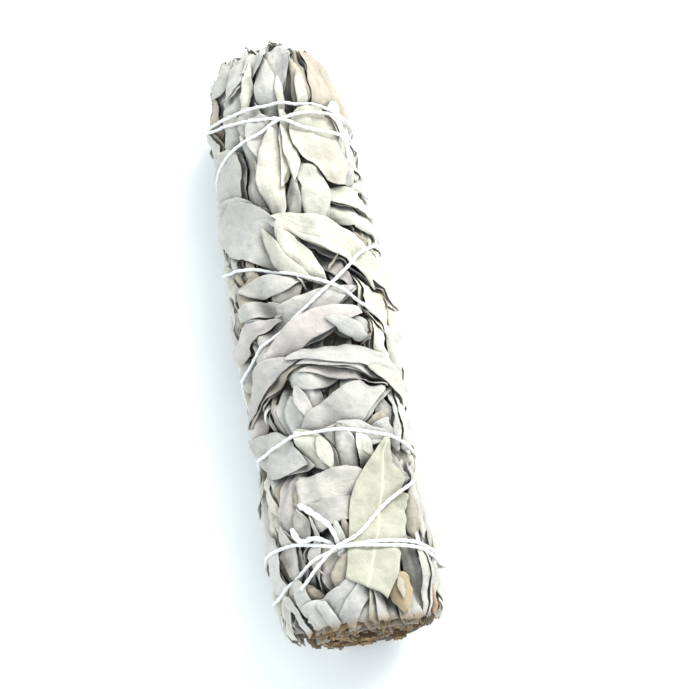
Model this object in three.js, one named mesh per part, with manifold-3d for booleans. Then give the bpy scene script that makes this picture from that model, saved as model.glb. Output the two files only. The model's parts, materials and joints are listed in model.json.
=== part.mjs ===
// A bunch of dried white sage, lying on its side and bound with one cotton twine.
// Millimetres, +Z up. The bunch lies along Y: the cut stem ends are at -Y, the leaf tips at +Y,
// and the flattened underside rests on Z = 0. Angles go round the bunch's own axis, in degrees:
// 0 is +X, 90 is the top, 180 is -X and 270 is the underside.
import * as THREE from 'three';
import { mergeVertices } from 'three/addons/utils/BufferGeometryUtils.js';
import Module from 'manifold-3d';

const wasm = await Module();
wasm.setup();

// ---- driving dimensions ----
const CUT_END = -90;          // where the stems are cut
const STEM_STANDS_PROUD = 1.6; // the cut stems reach this far past the pressed leaves
const CORE_TIP = 79;          // where the pressed inner leaves stop
const HEIGHT_SHARE = 0.94;    // the bunch's height over its width, before the underside is pressed flat
const PRESSED_FLAT = 2.9;     // how much of the round outline the resting face takes away
const GAP = 0.4;              // air between neighbouring pieces
const LEAF_THICK = 0.55;
const LAYERS = 4;             // outer leaves lie at most this many deep
const PITCH = LEAF_THICK + GAP;
const STACK = LAYERS * PITCH; // from the pressed inner leaves to the outermost leaf
const UNDERSIDE_THICK = 1.15; // a folded leaf under the bunch
const CORE_FLOOR = UNDERSIDE_THICK + GAP;
const SPRIGS = 6;             // leafy sprigs round a middle stem
const STEM_BASE_R = 2.2;
const STEM_TIP_R = 1.2;
const STEM_TIP = 58;
const TWINE_R = 0.55;
const FACET = 4;              // the longest step across a curved leaf
const MEAN_R = 20.5;          // turns an angle into a distance along the surface

// Half the bunch's width at places along Y.
const OUTLINE = [
  [-90, 20.6], [-80, 21.6], [-70, 21.6], [-55, 21.3], [-38, 20.4], [-24, 21.4], [-8, 22.1],
  [10, 22.1], [28, 21.5], [50, 20.9], [62, 20.4], [74, 20.4], [84, 19.2], [92, 17.2],
];

const rad = THREE.MathUtils.degToRad;
const along = (degrees) => rad(degrees) * MEAN_R;

function halfWidth(y) {
  const last = OUTLINE.length - 1;
  if (y <= OUTLINE[0][0]) return OUTLINE[0][1];
  if (y >= OUTLINE[last][0]) return OUTLINE[last][1];
  const i = OUTLINE.findIndex(([at]) => at > y) - 1;
  const [[y0, w0], [y1, w1]] = OUTLINE.slice(i, i + 2);
  return THREE.MathUtils.lerp(w0, w1, (y - y0) / (y1 - y0));
}

// Height of the axis, which keeps the flattened underside level.
const axisHeight = (y) => HEIGHT_SHARE * halfWidth(y) - PRESSED_FLAT;

// A point at height h over the pressed inner leaves; a share below 1 goes inwards to the axis.
function surfacePoint(degrees, y, h = 0, share = 1) {
  const a = (halfWidth(y) - STACK) * share + h;
  const b = (HEIGHT_SHARE * halfWidth(y) - STACK) * share + h;
  const z = axisHeight(y) + b * Math.sin(rad(degrees));
  return new THREE.Vector3(a * Math.cos(rad(degrees)), y, Math.max(z, CORE_FLOOR - h));
}

// ---- closed solids ----
function indexed(points, faces) {
  const g = new THREE.BufferGeometry().setFromPoints(points);
  g.setIndex(faces.flat());
  g.computeVertexNormals();
  return g;
}

// A sheet between two grids of points with the same rows and columns.
function sheetSolid(outer, inner) {
  const rows = outer.length;
  const cols = outer[0].length;
  const points = [...outer.flat(), ...inner.flat()];
  const back = rows * cols;
  const faces = [];
  const quad = (a, b, c, d) => faces.push([a, b, c], [a, c, d]);
  for (let r = 0; r + 1 < rows; r++) {
    for (let c = 0; c + 1 < cols; c++) {
      const i = r * cols + c;
      quad(i, i + 1, i + cols + 1, i + cols);
      quad(back + i, back + i + cols, back + i + cols + 1, back + i + 1);
    }
    const [first, last] = [r * cols, r * cols + cols - 1];
    quad(first, first + cols, back + first + cols, back + first);
    quad(last, back + last, back + last + cols, last + cols);
  }
  for (let c = 0; c + 1 < cols; c++) {
    const end = (rows - 1) * cols + c;
    quad(c, back + c, back + c + 1, c + 1);
    quad(end, end + 1, back + end + 1, back + end);
  }
  return indexed(points, faces);
}

// A body through closed rings of points from -Y to +Y, with a flat end on the first and the last.
function loft(rings) {
  const n = rings[0].length;
  const faces = [];
  for (let r = 0; r + 1 < rings.length; r++) {
    for (let i = 0; i < n; i++) {
      const [a, b] = [r * n + i, r * n + ((i + 1) % n)];
      faces.push([a, b + n, b], [a, a + n, b + n]);
    }
  }
  const end = (rings.length - 1) * n;
  for (let i = 1; i + 1 < n; i++) {
    faces.push([0, i, i + 1], [end, end + i + 1, end + i]);
  }
  return indexed(rings.flat(), faces);
}

function solidOf(geometry) {
  const bare = geometry.clone();
  bare.deleteAttribute('normal');
  bare.deleteAttribute('uv');
  const merged = mergeVertices(bare, 1e-4);
  return new wasm.Manifold(new wasm.Mesh({
    numProp: 3,
    vertProperties: merged.attributes.position.array,
    triVerts: new Uint32Array(merged.index.array),
  }));
}

function geometryOf(solid) {
  const { vertProperties, triVerts } = solid.getMesh();
  const g = new THREE.BufferGeometry();
  g.setAttribute('position', new THREE.BufferAttribute(vertProperties, 3));
  g.setIndex(new THREE.BufferAttribute(triVerts, 1));
  g.computeVertexNormals();
  return g;
}

// ---- materials ----
const matt = (color) => new THREE.MeshStandardMaterial({ color, roughness: 0.9, metalness: 0 });
const LEAF_GREY = matt(0xd2cfc4);
const LEAF_CREAM = matt(0xdedac8);
const LEAF_GREEN = matt(0xd0d6bb);
const INNER_LEAF = matt(0xa8a08c);
const STEM_WOOD = matt(0x9a7b4f);
const TWIG_BARK = matt(0xc08a5a);
const COTTON = matt(0xf4f4f2);

const bunch = new THREE.Group();

function addPiece(name, geometry, material) {
  const mesh = new THREE.Mesh(geometry, material);
  mesh.name = name;
  bunch.add(mesh);
}

// ---- stems: one in the middle, one in each sprig ----
const STEM_SIDES = 8;

function roundRing(middle, r) {
  return Array.from({ length: STEM_SIDES }, (_, i) => {
    const turn = (i * 2 * Math.PI) / STEM_SIDES;
    return middle.clone().add(new THREE.Vector3(r * Math.cos(turn), 0, r * Math.sin(turn)));
  });
}

// A straight tapered stem inside the bunch; spare makes the bore that leaves it free.
function stemSolid(degrees, share, spare = 0) {
  const middle = (y) => surfacePoint(degrees, y, 0, share);
  return loft([
    roundRing(middle(CUT_END - spare), STEM_BASE_R + spare),
    roundRing(middle(STEM_TIP + spare), STEM_TIP_R + spare),
  ]);
}

// ---- pressed inner leaves: the leaves of one sprig, flattened round its stem ----
function sprigSolid(degrees) {
  const halfTurn = 180 / SPRIGS;
  const inner = 0.24;
  const places = [CUT_END + STEM_STANDS_PROUD, -72, -55, -38, -24, -8, 10, 28, 50, 64, CORE_TIP];
  const rings = places.map((y) => {
    const atRim = (GAP / 2 / (halfWidth(y) - STACK)) * (180 / Math.PI);
    const atMiddle = atRim / inner;
    const shrink = y === CORE_TIP ? 0.86 : 1;
    const outside = [-1, -0.5, 0, 0.5, 1].map((side) =>
      surfacePoint(degrees + side * (halfTurn - atRim), y, 0, shrink));
    const inside = [1, -1].map((side) =>
      surfacePoint(degrees + side * (halfTurn - atMiddle), y, 0, inner * shrink));
    return [...outside, ...inside];
  });
  return loft(rings);
}

const MIDDLE_STEM_SHARE = 0;
const SPRIG_STEM_SHARE = 0.58;
addPiece('stem_1', stemSolid(0, MIDDLE_STEM_SHARE), STEM_WOOD);
for (let i = 0; i < SPRIGS; i++) {
  const degrees = (i * 360) / SPRIGS + 30;
  const bore = solidOf(stemSolid(degrees, SPRIG_STEM_SHARE, GAP));
  const leaves = solidOf(sprigSolid(degrees)).subtract(bore);
  addPiece(`stem_${i + 2}`, stemSolid(degrees, SPRIG_STEM_SHARE), STEM_WOOD);
  addPiece(`sprig_leaves_${i + 1}`, geometryOf(leaves), INNER_LEAF);
}

// ---- outer leaves ----
// base and tip are [angle, y]; width is the widest, bow is how far the midrib bends sideways,
// and blunt ends a torn or folded-over leaf squarely at its base.
const GROWN_LEAVES = [
  // leaf tips that stand at the far end
  { name: 'tip_leaf_1', base: [20, 56], tip: [33, 90], width: 13 },
  { name: 'tip_leaf_2', base: [98, 60], tip: [101, 86], width: 12 },
  { name: 'tip_leaf_3', base: [142, 57], tip: [131, 82], width: 12 },
  { name: 'tip_leaf_4', base: [84, 65], tip: [60, 89], width: 9 },
  { name: 'tip_leaf_5', base: [119, 55], tip: [114, 88], width: 8 },
  // the upper third: tips hang down towards the waist of the bunch
  { name: 'upper_leaf_1', base: [86, 47], tip: [77, 20], width: 10 },
  { name: 'upper_leaf_2', base: [104, 47], tip: [108, 26], width: 9 },
  { name: 'upper_leaf_3', base: [150, 56], tip: [142, 36], width: 13 },
  { name: 'upper_leaf_4', base: [62, 62], tip: [50, 37], width: 16 },
  { name: 'upper_leaf_5', base: [85, 60], tip: [94, 40], width: 6.5 },
  { name: 'upper_leaf_6', base: [91, 38], tip: [106, 19], width: 6.5 },
  // leaves folded over the right shoulder
  { name: 'shoulder_leaf_1', base: [68, 32], tip: [8, 33], width: 8 },
  { name: 'shoulder_leaf_2', base: [74, 22], tip: [14, 24], width: 8 },
  // crossing leaves round the waist
  { name: 'waist_leaf_1', base: [104, 20], tip: [16, -6], width: 11, bow: 3 },
  { name: 'waist_leaf_2', base: [176, 34], tip: [106, 8], width: 15, bow: -2 },
  { name: 'waist_leaf_3', base: [112, 15], tip: [76, 4], width: 7.5 },
  { name: 'waist_leaf_4', base: [130, -5], tip: [60, 0], width: 9, bow: 2 },
  { name: 'waist_leaf_5', base: [128, -12], tip: [52, -4], width: 8, bow: 2 },
  { name: 'waist_leaf_6', base: [168, -19], tip: [84, -9], width: 9, bow: 2 },
  { name: 'waist_leaf_7', base: [112, -18], tip: [24, -28], width: 9, bow: 5 },
  { name: 'waist_leaf_8', base: [160, -27], tip: [48, -25], width: 7, bow: 7 },
  { name: 'waist_leaf_9', base: [26, -25], tip: [112, -42], width: 13, bow: -5 },
  // the lower third
  { name: 'lower_leaf_1', base: [172, -32], tip: [117, -47], width: 13, bow: 1 },
  { name: 'lower_leaf_2', base: [86, -35], tip: [60, -48], width: 12 },
  { name: 'lower_leaf_3', base: [120, -54], tip: [78, -53], width: 9, blunt: true },
  { name: 'lower_leaf_4', base: [125, -66], tip: [127, -46], width: 8 },
  { name: 'lower_leaf_5', base: [166, -44], tip: [160, -88], width: 9 },
  { name: 'lower_leaf_6', base: [20, -42], tip: [5, -86], width: 10 },
  { name: 'lower_leaf_7', base: [92, -79], tip: [132, -88], width: 8, blunt: true },
  { name: 'lower_leaf_8', base: [142, -66], tip: [139, -88], width: 9 },
  { name: 'green_leaf', base: [84, -84], tip: [50, -42], width: 16.5, blunt: true },
];

// Leaves on the two lower flanks, laid end over end.
const FLANK_ANGLES = [207, 333];
const FLANK_TIPS = [-47, -4.5, 38, 80];
const FLANK_LEAF = { length: 41, width: 12, lean: 9 };

// Leaves under the bunch lie between the places where the twine passes beneath it.
const UNDERSIDE_SPANS = [[-73, -61], [-50, -38], [-20, 26], [43, 59], [71, 88]];
const UNDERSIDE_WIDTH = 13;

function leafRows({ base, tip, width, bow = 0, blunt = false }) {
  const start = new THREE.Vector2(along(base[0]), base[1]);
  const end = new THREE.Vector2(along(tip[0]), tip[1]);
  const length = start.distanceTo(end);
  const forward = end.clone().sub(start).normalize();
  const side = new THREE.Vector2(-forward.y, forward.x);
  const count = Math.max(5, Math.ceil(length / FACET));
  return Array.from({ length: count + 1 }, (_, i) => {
    const u = i / count;
    const swell = blunt
      ? Math.sqrt(Math.cos(u * Math.PI * 0.5)) * (0.8 + 0.2 * Math.sin(u * Math.PI))
      : Math.sin(Math.PI * u ** 0.85) ** 0.75;
    const centre = start.clone().addScaledVector(forward, u * length)
      .addScaledVector(side, bow * Math.sin(Math.PI * u));
    return { centre, side, half: Math.max(0.7, (swell * width) / 2) };
  });
}

// Two leaves clash when a disc of one midrib's half width meets a disc of the other.
const clash = (one, other) => one.rows.some((p) => other.rows.some((q) =>
  p.centre.distanceTo(q.centre) < p.half + q.half + GAP));

function leafSolid({ rows, width, low, high }) {
  const cols = Math.max(2, Math.ceil(width / FACET));
  const grid = (h) => rows.map(({ centre, side, half }) =>
    Array.from({ length: cols + 1 }, (_, c) => {
      const at = centre.clone().addScaledVector(side, half * ((2 * c) / cols - 1));
      return surfacePoint(THREE.MathUtils.radToDeg(at.x / MEAN_R), at.y, h);
    }));
  return sheetSolid(grid(high), grid(low));
}

const placed = [];

// A bare twig lies among the outer leaves at the cut end.
const TWIG = { degrees: 29, ends: [CUT_END, -73], r: 1.1 };
const twigRings = TWIG.ends.map((y) =>
  roundRing(surfacePoint(TWIG.degrees, y, GAP + TWIG.r), TWIG.r));
addPiece('twig', loft(twigRings), TWIG_BARK);
placed.push({
  rows: [0, 0.25, 0.5, 0.75, 1].map((t) => ({
    centre: new THREE.Vector2(along(TWIG.degrees), THREE.MathUtils.lerp(...TWIG.ends, t)),
    half: TWIG.r,
  })),
  layer: 0,
  high: GAP + 2 * TWIG.r,
});

// Each leaf lies on the lowest layer where it meets no leaf that is already there.
function placeLeaf(leaf, material) {
  const rows = leafRows(leaf);
  const taken = placed.filter((other) => clash({ rows }, other)).map((other) => other.layer);
  const layer = [0, 1, 2, 3, 4, 5, 6].find((k) => !taken.includes(k));
  if (layer >= LAYERS) throw new Error(`${leaf.name} needs layer ${layer + 1}`);
  const low = GAP + layer * PITCH;
  const high = low + LEAF_THICK;
  placed.push({ rows, layer, high });
  addPiece(leaf.name, leafSolid({ rows, width: leaf.width, low, high }), material);
}

const CREAM_GROUPS = /^(tip|upper|shoulder)_/;
for (const leaf of GROWN_LEAVES) {
  const creamy = CREAM_GROUPS.test(leaf.name) ? LEAF_CREAM : LEAF_GREY;
  placeLeaf(leaf, leaf.name === 'green_leaf' ? LEAF_GREEN : creamy);
}

FLANK_ANGLES.forEach((degrees, flank) => FLANK_TIPS.forEach((tipY, i) => {
  const lean = FLANK_LEAF.lean * (i % 2 ? 1 : -1);
  placeLeaf({
    name: `${flank ? 'right' : 'left'}_flank_leaf_${i + 1}`,
    base: [degrees - lean, tipY - FLANK_LEAF.length],
    tip: [degrees + lean, tipY],
    width: FLANK_LEAF.width,
  }, LEAF_GREY);
}));

UNDERSIDE_SPANS.forEach(([from, to], i) => {
  const rows = leafRows({ base: [270, from], tip: [270, to], width: UNDERSIDE_WIDTH });
  const geometry = leafSolid({
    rows, width: UNDERSIDE_WIDTH, low: GAP, high: GAP + UNDERSIDE_THICK,
  });
  addPiece(`underside_leaf_${i + 1}`, geometry, LEAF_GREY);
});

// ---- twine ----
const TWINE_STEP = 4;
const SPREAD = 3.6;       // how far from the twine a leaf still holds it up
const TWINE_AIR = 0.55;   // between the twine and the leaf under it
const UNDERSIDE_AIR = 0.12; // under the twine where it passes beneath the bunch
const KNOT = [100, -71];  // angle and y of the knot, on top near the cut end

// Height of the outermost leaf near a place on the surface.
function stackHeight(degrees, y) {
  const here = new THREE.Vector2(along(((degrees % 360) + 360) % 360), y);
  const wrapped = new THREE.Vector2(here.x - along(360), y);
  const near = (row) => Math.min(row.centre.distanceTo(here), row.centre.distanceTo(wrapped))
    < row.half + SPREAD;
  return placed.filter(({ rows }) => rows.some(near))
    .reduce((top, { high }) => Math.max(top, high), 0);
}

function twinePoint(degrees, y, lift = 0) {
  const underneath = Math.sin(rad(degrees)) < -0.9;
  const h = underneath ? GAP : stackHeight(degrees, y) + TWINE_AIR;
  const point = surfacePoint(degrees, y, h + TWINE_R + lift);
  point.z = Math.max(point.z, TWINE_R + UNDERSIDE_AIR);
  return point;
}

function tube(points) {
  const path = new THREE.CatmullRomCurve3(points);
  const section = new THREE.Shape();
  const sides = 6;
  for (let i = 0; i < sides; i++) {
    const turn = (i * 2 * Math.PI) / sides;
    const [x, y] = [TWINE_R * Math.cos(turn), TWINE_R * Math.sin(turn)];
    if (i) section.lineTo(x, y);
    else section.moveTo(x, y);
  }
  const steps = points.length;
  return new THREE.ExtrudeGeometry(section, { steps, extrudePath: path, bevelEnabled: false });
}

// One strand over the surface through [angle, y] places; angles keep counting past a full turn.
function strand(places) {
  const points = [];
  for (let i = 0; i + 1 < places.length; i++) {
    const [[a0, y0], [a1, y1]] = [places[i], places[i + 1]];
    const count = Math.max(1, Math.round(Math.hypot(along(a1 - a0), y1 - y0) / TWINE_STEP));
    for (let k = 0; k < count; k++) {
      const t = k / count;
      points.push(twinePoint(THREE.MathUtils.lerp(a0, a1, t), THREE.MathUtils.lerp(y0, y1, t)));
    }
  }
  points.push(twinePoint(...places.at(-1)));
  return tube(points);
}

// The twine's way round the bunch, in the order it is wound, from the knot back to the knot.
const WINDING = [
  // two turns round the cut end
  [KNOT, [52, -71], [10, -75], [-90, -77], [-192, -79], [-245, -74.5], [-260, -71]],
  [KNOT, [52, -72.4], [10, -76.6], [-90, -80], [-198, -83], [-235, -79], [-260, -71]],
  // up towards the tips
  [KNOT, [180, -66], [270, -55], [378, -44], [425, -41], [475, -38], [540, -38]],
  [[540, -38], [630, -27], [740, -15], [796, 2.5], [840, 11], [900, 21.5]],
  [[900, 21.5], [990, 35], [1100, 50], [1125, 55], [1170, 57.5], [1207, 61.5], [1260, 67.5]],
  // twice round the tips
  [[1260, 67.5], [1350, 64], [1465, 62.5], [1530, 63.5], [1590, 66], [1620, 70]],
  [[1620, 70], [1710, 67], [1813, 62], [1880, 59.5], [1900, 57], [1937, 55], [1980, 50]],
  // and down again, crossing the first winding
  [[1980, 50], [2070, 33], [2180, 16], [2236, 2.5], [2280, -10], [2310, -16], [2332, -22]],
  [[2332, -22], [2430, -31], [2538, -45], [2565, -57], [2620, -71]],
];

// The two ends stand off the surface: [angle, y, lift].
const TAILS = [
  [[100, -71, 0.4], [104, -68, 1.6], [104, -64, 3], [112, -60, 4.2], [121, -56, 4.4]],
  [[100, -71, 0.4], [110, -68.5, 1.6], [124, -68, 2.4], [133, -65.5, 3], [136, -63, 3.4]],
];

const knot = new THREE.SphereGeometry(1.7, 10, 6);
knot.translate(...twinePoint(...KNOT, 0.3).toArray());
const twine = [
  ...WINDING.map(strand),
  ...TAILS.map((places) => tube(places.map((place) => twinePoint(...place)))),
  knot,
].map(solidOf).reduce((whole, piece) => whole.add(piece));
addPiece('twine', geometryOf(twine), COTTON);

export default bunch;
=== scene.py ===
"""A hand-bound bunch of dried white sage lying on its side.

Lengths are in millimetres while a piece is worked out and in metres once it is a mesh.
The bunch lies along Y with its cut end at -Y. A place on it is an angle round the bunch,
0 at +X and 90 on top, a Y, and a height over the mean surface of the outer leaves. Past
DOME_START the Y runs along the rounded far end, up to POLE at its middle.
"""
import functools
import json
import math

import bpy
import numpy as np
from bpy.props import FloatProperty, FloatVectorProperty, PointerProperty
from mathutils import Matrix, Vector


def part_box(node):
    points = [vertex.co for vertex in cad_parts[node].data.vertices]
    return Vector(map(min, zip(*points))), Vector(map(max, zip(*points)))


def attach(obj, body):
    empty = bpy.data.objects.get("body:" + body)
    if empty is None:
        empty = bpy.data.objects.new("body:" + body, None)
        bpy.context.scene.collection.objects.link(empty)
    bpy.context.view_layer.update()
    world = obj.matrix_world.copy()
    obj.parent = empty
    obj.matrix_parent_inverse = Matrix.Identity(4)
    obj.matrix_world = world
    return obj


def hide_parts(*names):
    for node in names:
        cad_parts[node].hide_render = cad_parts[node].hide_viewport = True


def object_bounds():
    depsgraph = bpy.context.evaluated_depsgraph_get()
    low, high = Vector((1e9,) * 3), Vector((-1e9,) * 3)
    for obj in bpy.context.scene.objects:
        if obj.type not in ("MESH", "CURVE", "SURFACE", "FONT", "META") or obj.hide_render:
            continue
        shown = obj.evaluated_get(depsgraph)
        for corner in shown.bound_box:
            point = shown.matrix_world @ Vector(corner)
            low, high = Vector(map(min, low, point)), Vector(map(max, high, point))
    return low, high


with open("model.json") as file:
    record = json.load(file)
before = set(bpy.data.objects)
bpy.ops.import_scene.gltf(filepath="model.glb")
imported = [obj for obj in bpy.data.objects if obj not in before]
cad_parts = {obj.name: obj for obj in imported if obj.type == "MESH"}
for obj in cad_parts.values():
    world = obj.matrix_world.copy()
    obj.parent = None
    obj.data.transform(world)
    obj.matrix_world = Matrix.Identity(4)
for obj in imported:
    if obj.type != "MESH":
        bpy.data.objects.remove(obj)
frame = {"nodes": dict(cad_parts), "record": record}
cad_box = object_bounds()

bl_info = {
    "name": "Bound Sage Bunch",
    "version": (1, 0, 0),
    "blender": (4, 5, 0),
    "location": "View3D > Sidebar > Sage",
    "description": "Drapes a bunch of dried sage leaves and binds it with cotton twine",
    "category": "Add Mesh",
}

MM = 0.001
SEED = 7

# ---------------------------------------------------------------- what a user can change

def length_property(name, description, millimetres):
    """A length for the panel, with its default in millimetres."""
    return FloatProperty(name=name, description=description, default=millimetres * MM,
                         unit="LENGTH", precision=5, min=0)


def colour_property(name, description, rgb):
    """A colour for the panel, as seen on screen."""
    return FloatVectorProperty(name=name, description=description, default=rgb,
                               subtype="COLOR_GAMMA", min=0, max=1)


class SageSizes(bpy.types.PropertyGroup):
    leaf: length_property("Leaf", "Thickness of a dried leaf with its down", 0.35)
    twine: length_property("Twine", "Thickness of the twine", 1.05)
    pinch: length_property("Pinch", "How deep the twine sinks into the leaves", 1.1)
    twig: length_property("Twig", "Thickness of the bare twig", 1.2)


class SageColours(bpy.types.PropertyGroup):
    grey: colour_property("Grey leaf", "The most common leaf", (0.765, 0.757, 0.728))
    cream: colour_property("Cream leaf", "The palest leaf", (0.82, 0.81, 0.755))
    pink: colour_property("Pink leaf", "A leaf with a trace of pink", (0.765, 0.744, 0.715))
    tan: colour_property("Tan leaf", "A browned leaf", (0.70, 0.665, 0.60))
    green: colour_property("Green leaf", "The green leaf under the knot", (0.72, 0.72, 0.65))
    # painted shade: the inner leaves' darkness stands for the shadow in the gaps between the outer leaves
    inner: colour_property("Inner leaf", "The leaves inside", (0.48, 0.45, 0.39))
    # painted shade: the heart's dark colour stands for the shadow seen deep in the gaps between the outer
    # leaves
    heart: colour_property("Heart", "The leaves pressed tightest", (0.30, 0.26, 0.20))
    bract: colour_property("Bract", "A papery bract or leaf stalk", (0.71, 0.63, 0.50))
    pith: colour_property("Pith", "The middle of a cut stem", (0.70, 0.62, 0.45))
    wood: colour_property("Wood", "The wood of a cut stem", (0.57, 0.45, 0.29))
    bark: colour_property("Bark", "The bark of a stem", (0.38, 0.30, 0.21))
    twig: colour_property("Twig", "The bare twig", (0.72, 0.60, 0.48))
    twine: colour_property("Twine", "The cotton twine", (0.95, 0.95, 0.94))
    floor: colour_property("Floor", "The surface under the bunch", (0.984, 0.998, 1.0))


def wanted(name):
    """A size that the user can change, in millimetres."""
    return getattr(bpy.context.scene.sage_sizes, name) / MM


def tone(name):
    """A colour that the user can change, as linear light."""
    rgb = getattr(bpy.context.scene.sage_colours, name)
    return np.array([c / 12.92 if c < 0.04045 else ((c + 0.055) / 1.055) ** 2.4 for c in rgb])


# ---------------------------------------------------------------- the bunch's surface

LOW, HIGH = (np.array(corner) / MM for corner in cad_box)
CUT_END = LOW[1]
TIP_END = HIGH[1]
AXIS_HEIGHT = 19.3
HEIGHT_SHARE = 0.93  # the bunch's height over its width
GIRTH_R = 20.5  # turns an angle into a distance along the surface
OUTLINE_Y = [-90, -87, -80, -72, -55, -35, -12, 8, 28, 50, 68, 78]
OUTLINE_HALF = [17.8, 19.8, 21, 21.3, 20.9, 20, 21.5, 21.6, 20.9, 20.3, 19.5, 18.2]
DOME_START = OUTLINE_Y[-1]  # from here the leaf tips curl in to the rounded far end
DOME_LENGTH = 13
FLOOR_SOFT = 1.2  # how deep the pressed underside's layers are squeezed
FLOOR_CLEAR = 0.03
FLOOR_DEPTH = 2  # deeper layers than this aren't squeezed
END_SLANT = 2.6  # how far the lower cut ends stand back
SLANT_REACH = 15

# The rounded end's turn, from facing outwards to facing along Y, against the way over it.
DOME_TURN = np.linspace(0, math.pi / 2, 60)
DOME_IN = np.diff(OUTLINE_HALF[-1] * np.cos(DOME_TURN))
DOME_ON = np.diff(DOME_LENGTH * np.sin(DOME_TURN))
DOME_WAY = np.concatenate([[0], np.cumsum(np.hypot(DOME_IN, DOME_ON))])
POLE = DOME_START + DOME_WAY[-1]


def place(angle, y, height):
    """Points of the bunch in millimetres. The underside is pressed flat on Z = 0."""
    turn = np.radians(angle)
    bend = np.interp(y - DOME_START, DOME_WAY, DOME_TURN)
    half = np.interp(y, OUTLINE_Y, OUTLINE_HALF) * np.cos(bend)
    out, ahead = DOME_LENGTH * np.cos(bend), OUTLINE_HALF[-1] * np.sin(bend)
    outward, onward = height * out / np.hypot(out, ahead), height * ahead / np.hypot(out, ahead)
    x = (half + outward) * np.cos(turn)
    z = AXIS_HEIGHT + (HEIGHT_SHARE * half + outward) * np.sin(turn)
    y = np.minimum(y, DOME_START) + DOME_LENGTH * np.sin(bend) + onward
    # the leaves near the floor are squeezed into a thin stack, with the outermost lowest
    deep = FLOOR_CLEAR + FLOOR_SOFT * math.exp(FLOOR_DEPTH / FLOOR_SOFT) - FLOOR_DEPTH - height
    stacked = FLOOR_CLEAR + FLOOR_SOFT * np.exp(-np.clip(height, -FLOOR_DEPTH, 30) / FLOOR_SOFT)
    z = np.maximum(z, np.where(height < -FLOOR_DEPTH, deep, stacked))
    near_cut = np.clip(1 - (y - CUT_END) / SLANT_REACH, 0, 1)
    return np.stack([x, y + END_SLANT * (1 - z / HIGH[2]) * near_cut, z], -1)


class Waves:
    """Smooth repeatable noise: a sum of sines with random directions."""

    def __init__(self, rng, length, count=5):
        turns = rng.uniform(0, 2 * math.pi, count)
        pitch = 2 * math.pi / (length * rng.uniform(0.6, 1.6, count))
        self.kx, self.ky = pitch * np.cos(turns), pitch * np.sin(turns)
        self.phase = rng.uniform(0, 2 * math.pi, count)

    def __call__(self, x, y=0.0):
        arms = zip(self.kx, self.ky, self.phase)
        return sum(np.sin(kx * x + ky * y + p) for kx, ky, p in arms) / len(self.phase)


class Bed:
    """How high the leaves already lie, over a grid of girth by length."""

    STEP = 0.3
    MARGIN = 12  # how far the grid reaches past both ends

    def __init__(self):
        self.girth = 2 * math.pi * GIRTH_R
        self.rows = round(self.girth / self.STEP)
        self.cols = round((TIP_END - CUT_END + 2 * self.MARGIN) / self.STEP)
        self.height = np.zeros((self.rows, self.cols))
        self.under_twine = np.zeros_like(self.height)
        self.leaf_height = None

    def cell(self, s, y):
        col = np.clip((y - CUT_END + self.MARGIN) / self.STEP, 0, self.cols - 1.001)
        return s / self.girth * self.rows, col

    def sample(self, s, y, field=None):
        """The height, or another field of the bed, between the points of the grid."""
        field = self.height if field is None else field
        row, col = self.cell(s, y)
        r, c = np.floor(row).astype(int), np.floor(col).astype(int)
        fr, fc = row - r, col - c
        r0, r1 = r % self.rows, (r + 1) % self.rows
        low = field[r0, c] * (1 - fr) + field[r1, c] * fr
        high = field[r0, c + 1] * (1 - fr) + field[r1, c + 1] * fr
        return low * (1 - fc) + high * fc

    def highest(self, s, y, reach):
        """The highest of a place and its four neighbours at a distance."""
        places = [(0, 0), (reach, 0), (-reach, 0), (0, reach), (0, -reach)]
        return np.max([self.sample(s + ds, y + dy) for ds, dy in places], axis=0)

    def cover(self, s, y, top):
        """Raises the bed to the top of what was laid on it."""
        row, col = self.cell(s, y)
        r = np.round(row).astype(int) % self.rows
        np.maximum.at(self.height, (r, np.round(col).astype(int)), top)

    def trace(self, s, y):
        """Marks where a strand of twine runs."""
        row, col = self.cell(s, y)
        self.under_twine[np.round(row).astype(int) % self.rows, np.round(col).astype(int)] = 1

    def smooth(self, field, reach):
        """A field of the bed with detail finer than reach taken out."""
        # three plain averages, each over a square a little narrower than the reach
        step = max(1, round(reach / self.STEP / 1.7))
        for _ in range(3):
            for axis, mode in ((0, "wrap"), (1, "edge")):
                pad = [(0, 0), (0, 0)]
                pad[axis] = (step + 1, step)
                total = np.cumsum(np.pad(field, pad, mode=mode), axis=axis)
                n = field.shape[axis]
                upper = np.take(total, np.arange(2 * step + 1, 2 * step + 1 + n), axis=axis)
                lower = np.take(total, np.arange(n), axis=axis)
                field = (upper - lower) / (2 * step + 1)
        return field


def along(angle):
    """The distance along the girth for an angle round the bunch."""
    return np.radians(angle) * GIRTH_R


def blurred(grid):
    """A grid of heights, each averaged with those beside it."""
    p = np.pad(grid, 1, mode="edge")
    across = (p[:, :-2] + 2 * p[:, 1:-1] + p[:, 2:]) / 4
    return (across[:-2] + 2 * across[1:-1] + across[2:]) / 4


SPRIG_SECTOR = 60  # each of the six sprigs fills a sector of the bunch


def sprig_at(angle):
    """The inner solid whose sector holds an angle. The first sector starts at 0 degrees."""
    return f"sprig_leaves_{int((angle % 360) // SPRIG_SECTOR) + 1}"


def under_piece(angle, y):
    """Names the flank or underside solid nearest a place under the bunch."""
    share = (y - CUT_END) / (TIP_END - CUT_END)
    if math.sin(math.radians(angle)) < -0.85:
        return f"underside_leaf_{min(5, int(share * 5) + 1)}"
    side = "left" if math.cos(math.radians(angle)) < 0 else "right"
    return f"{side}_flank_leaf_{min(4, int(share * 4) + 1)}"


# ---------------------------------------------------------------- leaves

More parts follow.
